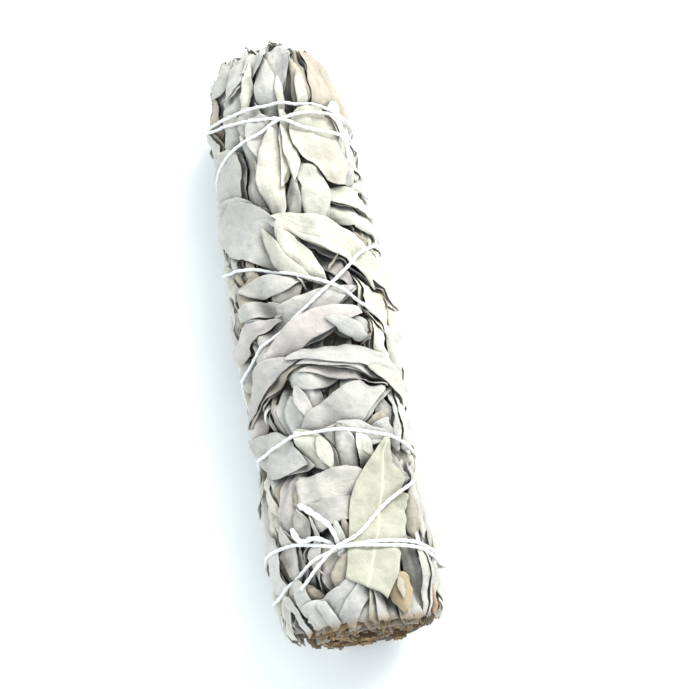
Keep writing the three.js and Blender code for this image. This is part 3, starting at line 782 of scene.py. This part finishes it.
def smooth_line(values, times):
    """A row of values with its bends eased, its two ends kept."""
    for _ in range(times):
        inner = (values[:-2] + 2 * values[1:-1] + values[2:]) / 4
        values = np.concatenate([values[:1], inner, values[-1:]])
    return values


# ---------------------------------------------------------------- pressing under the twine

UNDER_PINCH = 1.3  # how much deeper it sinks where the bunch rests on it
PROUD = 0.7  # what stands higher than this is pressed back
PRESSED_BACK = 0.45  # by this share
GROOVE_WIDTH = 1.2
LEVEL_WIDTH = 5.0  # the mean surface of the leaves is taken over this width
BESIDE_WIDTH = 0.7


@functools.lru_cache
def settled():
    """How far everything is pressed towards the axis, as a field of the bed."""
    bed = bunch()[-1]
    line = bed.smooth(bed.under_twine, GROOVE_WIDTH)
    angle = np.linspace(0, 360, bed.rows, endpoint=False)[:, None]
    underneath = np.clip((-np.sin(np.radians(angle)) - 0.75) / 0.2, 0, 1)
    groove = np.clip(line / np.percentile(line[line > 0.01], 92), 0, 1)
    level = bed.smooth(bed.leaf_height, LEVEL_WIDTH)
    return level + (wanted("pinch") + UNDER_PINCH * underneath) * groove


@functools.lru_cache
def crowding():
    """How high the leaves stand just round each place. What lies lower is given painted shade."""
    bed = bunch()[-1]
    return bed.smooth(bed.leaf_height, BESIDE_WIDTH)


def pressed(s, y, height):
    """Height over the mean surface, after the twine has pulled the leaves in."""
    over = height - bunch()[-1].sample(s, y, settled())
    return over - PRESSED_BACK * np.clip(over - PROUD, 0, None)


# ---------------------------------------------------------------- meshes

class Part:
    """Points in millimetres, faces, a colour for every point, and the leaf's own coordinates."""

    def __init__(self, points, faces, tint, blade=(0, 9, 0)):
        self.points, self.faces = np.asarray(points), faces
        count = len(self.points)
        self.tint = np.broadcast_to(np.asarray(tint, float)[..., :3], (count, 3))
        self.blade = np.broadcast_to(np.asarray(blade, float), (count, 3))


def mesh_piece(name, parts, material):
    """One smooth piece out of several parts."""
    faces, start = [], 0
    for part in parts:
        faces += [tuple(i + start for i in polygon) for polygon in part.faces]
        start += len(part.points)
    mesh = bpy.data.meshes.new(name)
    mesh.from_pydata((np.concatenate([p.points for p in parts]) * MM).tolist(), [], faces)
    tint = np.concatenate([p.tint for p in parts])
    tint = np.concatenate([tint, np.ones((len(tint), 1))], axis=1).astype(np.float32)
    blade = np.concatenate([p.blade for p in parts]).astype(np.float32)
    mesh.attributes.new("tint", "FLOAT_COLOR", "POINT").data.foreach_set("color", tint.ravel())
    mesh.attributes.new("blade", "FLOAT_VECTOR", "POINT").data.foreach_set("vector", blade.ravel())
    mesh.shade_smooth()
    mesh.materials.append(material)
    piece = bpy.data.objects.new(name, mesh)
    bpy.context.scene.collection.objects.link(piece)
    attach(piece, "root")
    return piece


def sheet_faces(rows, cols):
    """Quads of a closed sheet: the top grid of points, then the underside grid."""
    back = rows * cols
    faces = []
    for r in range(rows - 1):
        for c in range(cols - 1):
            i = r * cols + c
            faces.append((i, i + 1, i + cols + 1, i + cols))
            j = i + back
            faces.append((j, j + cols, j + cols + 1, j + 1))
        a, b = r * cols, r * cols + cols - 1
        faces.append((a, a + cols, a + cols + back, a + back))
        faces.append((b, b + back, b + cols + back, b + cols))
    for c in range(cols - 1):
        a, b = c, (rows - 1) * cols + c
        faces.append((a, a + back, a + back + 1, a + 1))
        faces.append((b, b + 1, b + 1 + back, b + back))
    return faces


def tube(path, radius, sides=10, lobes=0.0, pitch=2.4):
    """Points and faces of a closed tube. lobes makes it a twist of two plies."""
    path = np.asarray(path, float)
    ahead = np.gradient(path, axis=0)
    ahead /= np.linalg.norm(ahead, axis=1)[:, None]
    dist = np.concatenate([[0], np.cumsum(np.linalg.norm(np.diff(path, axis=0), axis=1))])
    side = np.cross(ahead[0], [0.3, 0.5, 0.8])
    radius = np.broadcast_to(radius, len(path))
    rings = []
    for p, t, d, r in zip(path, ahead, dist, radius):
        side = side - t * (side @ t)
        side /= np.linalg.norm(side)
        up = np.cross(t, side)
        turn = np.arange(sides) * 2 * math.pi / sides
        ply = 1 - lobes + lobes * np.cos(2 * (turn - math.pi * d / pitch))
        spokes = np.cos(turn)[:, None] * side + np.sin(turn)[:, None] * up
        rings.append(p + (r * ply)[:, None] * spokes)
    faces = []
    for k in range(len(path) - 1):
        for i in range(sides):
            a, b = k * sides + i, k * sides + (i + 1) % sides
            faces.append((a, b, b + sides, a + sides))
    last = (len(path) - 1) * sides
    faces.append(tuple(range(sides))[::-1])
    faces.append(tuple(last + i for i in range(sides)))
    return np.concatenate(rings), faces


DEEP_PAINTED_SHADE = 0.2  # painted shade: how much darker a leaf is for each millimetre it lies below the surface
HOLLOW_PAINTED_SHADE = 0.38  # painted shade too, for each millimetre below the leaves just beside it
CUT_BROWN = 0.65  # how brown a leaf is where it was sawn
CUT_BROWN_REACH = 1.3
# painted shade: each leaf's underside is coloured this share of its top
UNDERSIDE_PAINTED_SHADE = 0.85


def leaf_part(leaf, rng):
    """The closed mesh of one leaf, with painted shade the deeper it lies and in hollows below its
    neighbours, and brown where it was sawn.
    """
    top = pressed(leaf.s, leaf.y, leaf.top)
    under = pressed(leaf.s, leaf.y, leaf.under)
    angle = np.degrees(leaf.s / GIRTH_R)
    rows, cols = leaf.s.shape
    points = [place(angle, leaf.y, top).reshape(-1, 3), place(angle, leaf.y, under).reshape(-1, 3)]
    tint = tone(leaf.tone) * rng.uniform(0.93, 1.12) * rng.uniform(0.985, 1.015, 3)
    # painted shade: darker the deeper the leaf lies below the surface, and darker again below the leaves
    # just beside it
    shade = np.clip(1 + DEEP_PAINTED_SHADE * np.minimum(top + 0.3, 0), 0.2, 1)[..., None]
    beside = bunch()[-1].sample(leaf.s, leaf.y, crowding()) - leaf.top
    shade = shade * np.clip(1 - HOLLOW_PAINTED_SHADE * np.clip(beside - 0.05, 0, None), 0.35, 1)[..., None]
    # across the midrib a random brightness step is painted light and shade for the two halves of a fold;
    # along the leaf it is a random tone from base to tip
    fold_shade_and_tone = 1 + rng.normal(0, 0.035) * leaf.v + rng.normal(0, 0.05) * (leaf.u - 0.5)
    shade = shade * fold_shade_and_tone[..., None]
    browned = CUT_BROWN * np.clip(1 - (leaf.y - CUT_END) / CUT_BROWN_REACH, 0, 1)[..., None]
    rgb = (shade * (tint * (1 - browned) + tone("wood") * browned)).reshape(-1, 3)
    own = np.stack([leaf.u * leaf.length, leaf.v * leaf.half, leaf.v], -1).reshape(-1, 3)
    tints = np.concatenate([rgb, rgb * UNDERSIDE_PAINTED_SHADE])
    return Part(np.concatenate(points), sheet_faces(rows, cols), tints, np.concatenate([own, own]))


def loft(rings):
    """Faces through equal rings of points that run anticlockwise seen from the cut end."""
    count = len(rings[0])
    faces = [tuple(range(count))]
    for k in range(len(rings) - 1):
        for i in range(count):
            a, b = k * count + i, k * count + (i + 1) % count
            faces.append((a, a + count, b + count, b))
    last = (len(rings) - 1) * count
    faces.append(tuple(last + i for i in range(count))[::-1])
    return faces


def woody_part(x, z, radius, cut, end, rng):
    """A cut stem: a bark side, and a sawn face with its rings of wood round a pale pith."""
    sides = 16 if radius > 1.2 else 9
    turn = np.arange(sides) * 2 * math.pi / sides
    lump = 1 + 0.35 * Waves(rng, 2.2)(np.cos(turn) * 2, np.sin(turn) * 2)
    grit = Waves(rng, 0.9)
    sway = Waves(rng, 14.0)
    rings, tints = [], []
    pith, wood, bark = tone("pith"), tone("wood"), tone("bark")
    face = [(0.06, pith), (0.3, pith), (0.42, wood), (0.7, wood), (0.9, wood * 0.8), (0.99, bark)]
    for share, ring_colour in face:
        rim_x = x + share * radius * lump * np.cos(turn)
        rim_z = z + share * radius * lump * np.sin(turn)
        rough = cut + 0.6 * grit(rim_x * 1.3, rim_z * 1.3) + 0.1 * (1 - share)
        rings.append(np.stack([rim_x, rough, rim_z], -1))
        tints.append(np.broadcast_to(ring_colour * rng.uniform(0.8, 1.1), (sides, 3)))
    for y in np.linspace(cut + 0.4, end, 9):
        ridge = lump * (1 + 0.05 * grit(np.cos(turn) * 4, y + np.sin(turn) * 4))
        taper = radius * (1 - 0.15 * (y - cut) / (end - cut))
        rings.append(np.stack([x + 0.5 * sway(y) + taper * ridge * np.cos(turn), y + 0 * turn,
                               z + 0.5 * sway(y, 5) + taper * ridge * np.sin(turn)], -1))
        tints.append(np.broadcast_to(bark * rng.uniform(0.7, 1.3), (sides, 3)))
    return Part(np.concatenate(rings), loft(rings), np.concatenate(tints))


HEART_LEVEL = -5.5  # its height against the outer leaves


def painted_shade_heart_part(sector, rng):
    """The heart of one sprig: leaves pressed too tightly to tell apart, coloured dark as painted shade for
    the gaps between the outer leaves.
    """
    start = SPRIG_SECTOR * sector
    turn = np.radians(np.linspace(start, start + SPRIG_SECTOR, 9))
    rings = []
    for y in np.linspace(CUT_END + 4.5, POLE - 5, 66):
        level = HEART_LEVEL + 0.7 * Waves(rng, 4.0)(turn * GIRTH_R, y)
        arc = place(np.degrees(turn), np.full_like(turn, y), level)
        axis = np.array([[0.0, arc[0, 1], AXIS_HEIGHT]])
        rings.append(np.concatenate([axis, arc]))
    return Part(np.concatenate(rings), loft(rings), tone("heart"))


def cut_at(z):
    """Where the cut ends lie: the lower ones stand back a little."""
    return CUT_END + END_SLANT * (1 - z / HIGH[2])


def in_end_face(rng, margin):
    """A chance place on the round end face, as x and z."""
    radius, turn = math.sqrt(rng.uniform(0, 1)), rng.uniform(0, 2 * math.pi)
    wide = OUTLINE_HALF[0] - margin
    return radius * wide * math.cos(turn), AXIS_HEIGHT + radius * wide * HEIGHT_SHARE * math.sin(turn)


def cut_leaf_part(x, z, rng):
    """The sawn edge of a leaf in the end face: a short curved ribbon standing along Y."""
    rows, cols = 5, 9
    outward = math.atan2(z - AXIS_HEIGHT, x)
    turn = outward + math.pi / 2 + rng.normal(0, 0.6)
    width, curl, thick = rng.uniform(3, 8), rng.uniform(-1.8, 1.8), rng.uniform(0.3, 0.5)
    t = np.linspace(-1, 1, cols)[None, :]
    start = cut_at(z) + rng.uniform(-0.8, 1.6)
    y = np.linspace(0, 1, rows)[:, None] ** 1.5 * 9 + start
    wave = 0.35 * Waves(rng, 1.2)(t * 2)
    y = y + 0.3 * Waves(rng, 0.8)(t * 2, 3) * (y < start + 2.5)
    away = curl * (t**2 - 0.4) + wave
    across = width / 2 * t
    sheets = []
    for half in (thick / 2, -thick / 2):
        px = x + across * math.cos(turn) - (away + half) * math.sin(turn)
        pz = z + across * math.sin(turn) + (away + half) * math.cos(turn)
        sheet = np.stack([px + 0 * y, y + 0 * t, np.maximum(pz, 0.4) + 0 * y], -1)
        sheets.append(sheet.reshape(-1, 3))
    # past its sawn edge the ribbon fades into the inner leaf colour: painted shade deeper in the end face
    inner = np.clip((y - y.min()) / 3, 0, 1)[..., None] + 0 * t[..., None]
    edge = tone(rng.choice(["wood", "wood", "inner", "tan"])) * rng.uniform(0.45, 1.1)
    rgb = (edge * (1 - inner) + tone("inner") * inner).reshape(-1, 3)
    return Part(np.concatenate(sheets), sheet_faces(rows, cols), np.concatenate([rgb, rgb]))


# ---------------------------------------------------------------- materials

class Value:
    """A socket that can be added, subtracted, multiplied and divided like a number."""

    def __init__(self, nodes, socket):
        self.nodes, self.socket = nodes, socket

    def maths(self, operation, *others):
        values = {i: other for i, other in enumerate((self, *others))}
        return self.nodes.add("ShaderNodeMath", {"operation": operation}, values)

    def __add__(self, other):
        return self.maths("ADD", other)

    def __mul__(self, other):
        return self.maths("MULTIPLY", other)

    def __sub__(self, other):
        return self.maths("SUBTRACT", other)

    def __rsub__(self, other):
        return (self * -1) + other

    def __truediv__(self, other):
        return self.maths("DIVIDE", other)

    __radd__ = __add__
    __rmul__ = __mul__


class Nodes:
    """A material's node tree, built from expressions."""

    def __init__(self, name):
        self.material = bpy.data.materials.new(name)
        self.material.use_nodes = True
        self.tree = self.material.node_tree
        self.shader = self.tree.nodes["Principled BSDF"]

    def add(self, kind, settings=None, inputs=None, output=0):
        """Adds any node and returns one of its outputs."""
        node = self.tree.nodes.new(kind)
        for key, value in (settings or {}).items():
            if key == "stops":
                self.stops(node.color_ramp, value)
            else:
                setattr(node, key, value)
        for key, value in (inputs or {}).items():
            self.set(node.inputs[key], value)
        return Value(self, node.outputs[output])

    def stops(self, ramp, stops):
        """Sets a colour ramp's stops, each a position with a grey."""
        while len(ramp.elements) < len(stops):
            ramp.elements.new(1)
        for element, (position, grey) in zip(ramp.elements, stops):
            element.position = position
            element.color = (grey, grey, grey, 1)

    def set(self, socket, value):
        """Links a value to a socket, or sets the socket's own."""
        if isinstance(value, Value):
            self.tree.links.new(value.socket, socket)
        else:
            socket.default_value = value

    def surface(self, **inputs):
        """Sets the shader's sockets by name, with underscores for spaces."""
        for key, value in inputs.items():
            self.set(self.shader.inputs[key.replace("_", " ")], value)

    def noise(self, where, scale, detail=3.0, roughness=0.6):
        return self.add("ShaderNodeTexNoise", {}, {
            "Vector": where, "Scale": scale, "Detail": detail, "Roughness": roughness})

    def ramp(self, value, stops):
        return self.add("ShaderNodeValToRGB", {"stops": stops}, {"Fac": value})

    def mix(self, blend, factor, one, two):
        """Mixes two colours, which are the node's seventh and eighth inputs."""
        return self.add("ShaderNodeMix", {"data_type": "RGBA", "blend_type": blend}, {
            "Factor": factor, 6: one, 7: two}, output=2)

    def here(self):
        """The place on the piece, in its own metres."""
        return self.add("ShaderNodeTexCoord", output="Object")

    def tint(self):
        """The colour that each point was given."""
        return self.add("ShaderNodeAttribute", {"attribute_name": "tint"}, output="Color")

    def bump(self, height, strength, distance, normal=None):
        inputs = {"Height": height, "Strength": strength, "Distance": distance}
        if normal:
            inputs["Normal"] = normal
        return self.add("ShaderNodeBump", {}, inputs)


MIDRIB_TONE = (0.80, 0.77, 0.58, 1)
VEIN_TONE = (0.72, 0.70, 0.55, 1)
SPECK_TONE = (0.34, 0.25, 0.16, 1)


@functools.lru_cache
def leaf_material(name, vein_strength):
    """Dull, downy leaf with a midrib, side veins and a fine net between them."""
    n = Nodes(name)
    here, tint = n.here(), n.tint()
    blade = n.add("ShaderNodeAttribute", {"attribute_name": "blade"}, output="Vector")
    parts = n.add("ShaderNodeSeparateXYZ", {}, {"Vector": blade}).socket.node.outputs
    length = Value(n, parts["X"])
    aside = Value(n, parts["Y"]).maths("ABSOLUTE")
    blotch = n.noise(here, 260)
    mottle = n.noise(here, 1400)
    down = n.noise(here, 5200, 2)
    # side veins run forward from the midrib
    run = (length - aside * 1.3) / 2.3 + blotch * 0.8
    vein = n.ramp(run.maths("FRACT"), [(0.0, 1.0), (0.1, 0.0), (0.9, 0.0), (1.0, 1.0)])
    midrib = n.ramp(aside, [(0.0, 1.0), (0.5, 0.0)])
    mesh = n.add("ShaderNodeTexVoronoi", {"feature": "DISTANCE_TO_EDGE"}, {
        "Vector": here, "Scale": 900.0})
    net = n.ramp(mesh, [(0.0, 1.0), (0.12, 0.0)])
    shade = n.ramp(blotch, [(0.3, 0.86), (0.7, 1.04)])
    colour = n.mix("MULTIPLY", 1.0, tint, shade)
    colour = n.mix("MULTIPLY", 0.7, colour, n.ramp(mottle, [(0.3, 0.9), (0.7, 1.06)]))
    colour = n.mix("MIX", midrib * (0.07 + 0.8 * vein_strength), colour, MIDRIB_TONE)
    colour = n.mix("MIX", vein * (0.12 * vein_strength + 0.01), colour, VEIN_TONE)
    specks = n.ramp(n.noise(here, 620), [(0.66, 0.0), (0.74, 0.5)])
    colour = n.mix("MIX", specks, colour, SPECK_TONE)
    relief = vein * 0.25 + midrib * 0.5 + net * 0.12 + mottle * 0.35
    crease = n.noise(here, 420, 2, 0.5)
    normal = n.bump(crease, 0.45, 0.0012)
    normal = n.bump(relief, 0.4, 0.0003, normal)
    normal = n.bump(down, 0.35, 0.0001, normal)
    n.surface(Base_Color=colour, Roughness=0.78 + down * 0.2, Normal=normal)
    n.surface(Sheen_Weight=0.25, Sheen_Roughness=0.6, Specular_IOR_Level=0.2)
    return n.material


@functools.lru_cache
def stem_material():
    """Dry wood and bark with a grain along the stem."""
    n = Nodes("stem_wood")
    here, tint = n.here(), n.tint()
    long = n.add("ShaderNodeMapping", {}, {"Vector": here, "Scale": (1.0, 0.12, 1.0)})
    grain = n.noise(long, 2600, 4)
    blotch = n.noise(here, 700, 3)
    colour = n.mix("MULTIPLY", 1.0, tint, n.ramp(grain, [(0.25, 0.6), (0.75, 1.25)]))
    colour = n.mix("MULTIPLY", 0.6, colour, n.ramp(blotch, [(0.3, 0.7), (0.7, 1.1)]))
    n.surface(Base_Color=colour, Roughness=0.75 + grain * 0.2, Normal=n.bump(grain, 0.5, 0.00025))
    return n.material


@functools.lru_cache
def cotton_material():
    """Soft white cotton with fine fibres."""
    n = Nodes("cotton_twine")
    here = n.here()
    fibre = n.noise(here, 5200, 4)
    soft = n.noise(here, 900, 2)
    colour = n.mix("MIX", fibre, (0.80, 0.81, 0.80, 1), (0.97, 0.97, 0.96, 1))
    colour = n.mix("MULTIPLY", 0.5, colour, n.ramp(soft, [(0.3, 0.9), (0.7, 1.0)]))
    n.surface(Base_Color=colour, Roughness=0.82 + fibre * 0.15, Normal=n.bump(fibre, 0.5, 0.00015))
    n.surface(Sheen_Weight=0.35, Sheen_Roughness=0.5, Specular_IOR_Level=0.2)
    return n.material


# ---------------------------------------------------------------- pieces

def leaf_groups(prefix):
    """The leaves that stand for each solid whose name starts so."""
    leaves = bunch()[0]
    names = sorted({leaf.piece for leaf in leaves if leaf.piece.startswith(prefix)})
    return [(name, [leaf for leaf in leaves if leaf.piece == name]) for name in names]


def leaf_slot(name):
    """The record's material slot for a solid."""
    slots = {node["node"]: node["material_slot"] for node in frame["record"]["subparts"]}
    return slots[name]


def add_leaves(prefix, extra=None):
    """One piece of leaves for each solid whose name starts so."""
    for number, (name, leaves) in enumerate(leaf_groups(prefix)):
        rng = np.random.default_rng([SEED, len(name), number])
        green = name == "green_leaf"
        parts = [leaf_part(leaf, rng) for leaf in leaves]
        if extra:
            parts += extra(name, rng)
        material = leaf_material("green_sage", 0.7) if green else leaf_material("downy_sage", 0.0)
        piece = mesh_piece(name + "_skin", parts, material)
        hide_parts(name)
        leaf_slot(name)


CUT_LEAVES = 150  # tried over the whole end face, for each sprig
SMALL_STEMS = 90
SMALL_STEM_LENGTH = 9


def sprig_inside(name, rng):
    """The heart in painted shade, the small stems and the cut leaf edges in one sprig's sector."""
    sector = int(name[-1]) - 1
    parts = [painted_shade_heart_part(sector, rng)]
    for _ in range(CUT_LEAVES):
        x, z = in_end_face(rng, 1.5)
        if sprig_at(math.degrees(math.atan2(z - AXIS_HEIGHT, x))) == name:
            parts.append(cut_leaf_part(x, z, rng))
    for _ in range(SMALL_STEMS):
        x, z = in_end_face(rng, 3.0)
        if sprig_at(math.degrees(math.atan2(z - AXIS_HEIGHT, x))) == name:
            cut = cut_at(z) + rng.uniform(-0.4, 1.6)
            radius = rng.uniform(0.4, 0.95)
            parts.append(woody_part(x, z, radius, cut, cut + SMALL_STEM_LENGTH, rng))
    return parts


# ---------------------------------------------------------------- operators

STEM_SHOWN = 40  # the rest of a stem is hidden among the leaves

class SAGE_OT_sprigs(bpy.types.Operator):
    """Fill the bunch with the inner leaves of its sprigs, and its cut end"""
    bl_idname = "sage.sprigs"
    bl_label = "Inner sprigs"

    def execute(self, context):
        add_leaves("sprig_leaves_", sprig_inside)
        return {"FINISHED"}


class SAGE_OT_stems(bpy.types.Operator):
    """Add the cut woody stems"""
    bl_idname = "sage.stems"
    bl_label = "Stems"

    def execute(self, context):
        for name in sorted(node for node in frame["nodes"] if node.startswith("stem_")):
            rng = np.random.default_rng([SEED, int(name[-1])])
            low, high = (np.array(corner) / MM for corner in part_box(name))
            x, z = (low[0] + high[0]) / 2, (low[2] + high[2]) / 2
            radius = (high[0] - low[0]) / 2 * rng.uniform(0.8, 1.1)
            cut = low[1] + rng.uniform(0.2, 2.4)
            part = woody_part(x, z, radius, cut, low[1] + STEM_SHOWN, rng)
            piece = mesh_piece(name + "_wood", [part], stem_material())
            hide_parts(name)
        return {"FINISHED"}


class SAGE_OT_outer_leaves(bpy.types.Operator):
    """Drape the outer leaves that can be told apart"""
    bl_idname = "sage.outer_leaves"
    bl_label = "Outer leaves"

    def execute(self, context):
        for prefix in ("underside_", "left_flank_", "right_flank_", "tip_", "upper_", "shoulder_",
                       "waist_", "lower_", "green_"):
            add_leaves(prefix)
        return {"FINISHED"}


class SAGE_OT_twig(bpy.types.Operator):
    """Add the bare twig at the cut end"""
    bl_idname = "sage.twig"
    bl_label = "Twig"

    def execute(self, context):
        path = bunch()[2].path()
        rng = np.random.default_rng(SEED)
        knobs = 1 + 0.12 * Waves(rng, 5.0)(np.arange(len(path)) * STRAND_STEP)
        points, faces = tube(path, wanted("twig") / 2 * knobs, 12, 0.04, 9.0)
        piece = mesh_piece("twig_bark", [Part(points, faces, tone("twig"))], stem_material())
        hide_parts("twig")
        return {"FINISHED"}


def tail_path(places):
    """A smooth path through the places of a loose end, over the pressed leaves."""
    angle, y, lift = np.array(places, float).T
    count = np.arange(len(angle))
    fine = np.linspace(0, len(angle) - 1, 60)
    angle, y, lift = (smooth_line(np.interp(fine, count, values), 60) for values in (angle, y, lift))
    bed = bunch()[-1]
    ground = pressed(along(angle), y, bed.sample(along(angle), y, bed.leaf_height))
    return place(angle, y, smooth_line(ground, 60) + lift + wanted("twine") / 2)


def knot_path():
    """A trefoil, drawn small and flat on the leaves."""
    t = np.linspace(0, 2 * math.pi, 90)
    out = 0.42 * (2 + np.cos(3 * t)) * np.array([np.cos(2 * t), np.sin(2 * t)])
    bed = bunch()[-1]
    angle = KNOT[0] + np.degrees(out[0] / GIRTH_R)
    y = KNOT[1] + 1.2 * out[1]
    middle = along(np.array(KNOT[0])), np.array(KNOT[1])
    ground = pressed(*middle, bed.sample(*middle, bed.leaf_height))
    return place(angle, y, ground + 2.0 + 0.55 * np.sin(3 * t))


class SAGE_OT_twine(bpy.types.Operator):
    """Wind and knot the cotton twine"""
    bl_idname = "sage.twine"
    bl_label = "Twine"

    def execute(self, context):
        radius = wanted("twine") / 2
        white = tone("twine")
        parts = []
        for strand in bunch()[1]:
            parts.append(Part(*tube(strand.path(), radius, 10, 0.12), white))
        parts.append(Part(*tube(knot_path(), radius, 10, 0.12), white))
        for places in TAILS:
            path = tail_path(places)
            # the cut ends come unlaid and swell
            thick = radius * np.interp(np.arange(len(path)), [0, 20, 50, 59], [1, 1.25, 1.75, 1.4])
            parts.append(Part(*tube(path, thick, 12, 0.12, 3.0), white))
        piece = mesh_piece("twine_cotton", parts, cotton_material())
        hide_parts("twine")
        return {"FINISHED"}


SKY = (0.90, 0.96, 1.0, 1)
LIGHTS = [
    # name, place, width, power, colour
    ("key", (0.50, 0.46, 0.60), 0.6, 9.5, (1, 0.985, 0.95)),
    ("fill", (-0.2, -0.5, 0.7), 0.8, 2, (0.95, 0.98, 1)),
]
LIT_PLACE = Vector((0, 0, 0.02))
SEEN_PLACE = Vector((0.0085, -0.0074, 0.020))
SEEN_TURN = math.radians(-9.6)
SEEN_RISE = math.radians(65)
SEEN_FROM = 0.42
LENS = 77.7


class SAGE_OT_stage(bpy.types.Operator):
    """Add the floor, the studio light and the camera"""
    bl_idname = "sage.stage"
    bl_label = "Stage"

    def execute(self, context):
        bpy.ops.mesh.primitive_plane_add(size=6)
        floor = context.object
        floor.name = "floor"
        n = Nodes("pale_floor")
        n.surface(Base_Color=(*tone("floor"), 1), Roughness=0.7, Specular_IOR_Level=0.1)
        floor.data.materials.append(n.material)
        world = bpy.data.worlds.new("studio")
        world.use_nodes = True
        world.node_tree.nodes["Background"].inputs["Color"].default_value = SKY
        world.node_tree.nodes["Background"].inputs["Strength"].default_value = 1.0
        context.scene.world = world
        for name, spot, width, power, tint in LIGHTS:
            light = bpy.data.lights.new(name, "AREA")
            light.size, light.energy, light.color = width, power, tint
            lamp = bpy.data.objects.new(name, light)
            lamp.location = spot
            lamp.rotation_euler = (LIT_PLACE - Vector(spot)).to_track_quat("-Z", "Y").to_euler()
            context.scene.collection.objects.link(lamp)
        camera = bpy.data.cameras.new("camera")
        camera.lens = LENS
        eye = bpy.data.objects.new("camera", camera)
        level = math.cos(SEEN_RISE)
        back = Vector((math.sin(SEEN_TURN) * level, -math.cos(SEEN_TURN) * level, math.sin(SEEN_RISE)))
        eye.location = SEEN_PLACE + back * SEEN_FROM
        eye.rotation_euler = back.to_track_quat("Z", "Y").to_euler()
        context.scene.collection.objects.link(eye)
        context.scene.camera = eye
        context.scene.view_settings.view_transform = "Standard"
        return {"FINISHED"}


OPERATORS = (SAGE_OT_sprigs, SAGE_OT_stems, SAGE_OT_outer_leaves, SAGE_OT_twig, SAGE_OT_twine,
             SAGE_OT_stage)


class SAGE_PT_bunch(bpy.types.Panel):
    """Lists the bunch's sizes, its colours and its steps"""
    bl_label = "Bound sage bunch"
    bl_space_type = "VIEW_3D"
    bl_region_type = "UI"
    bl_category = "Sage"

    def draw(self, context):
        for group in (context.scene.sage_sizes, context.scene.sage_colours):
            box = self.layout.box()
            for name in type(group).__annotations__:
                box.prop(group, name)
        for operator in OPERATORS:
            self.layout.operator(operator.bl_idname)


CLASSES = (SageSizes, SageColours, *OPERATORS, SAGE_PT_bunch)


def register():
    for kind in CLASSES:
        bpy.utils.register_class(kind)
    bpy.types.Scene.sage_sizes = PointerProperty(type=SageSizes)
    bpy.types.Scene.sage_colours = PointerProperty(type=SageColours)


def unregister():
    del bpy.types.Scene.sage_sizes
    del bpy.types.Scene.sage_colours
    for kind in reversed(CLASSES):
        bpy.utils.unregister_class(kind)


def main():
    """Builds the whole bunch on its stage."""
    register()
    bpy.ops.sage.sprigs()
    bpy.ops.sage.stems()
    bpy.ops.sage.outer_leaves()
    bpy.ops.sage.twig()
    bpy.ops.sage.twine()
    bpy.ops.sage.stage()


if __name__ == "__main__":
    main()
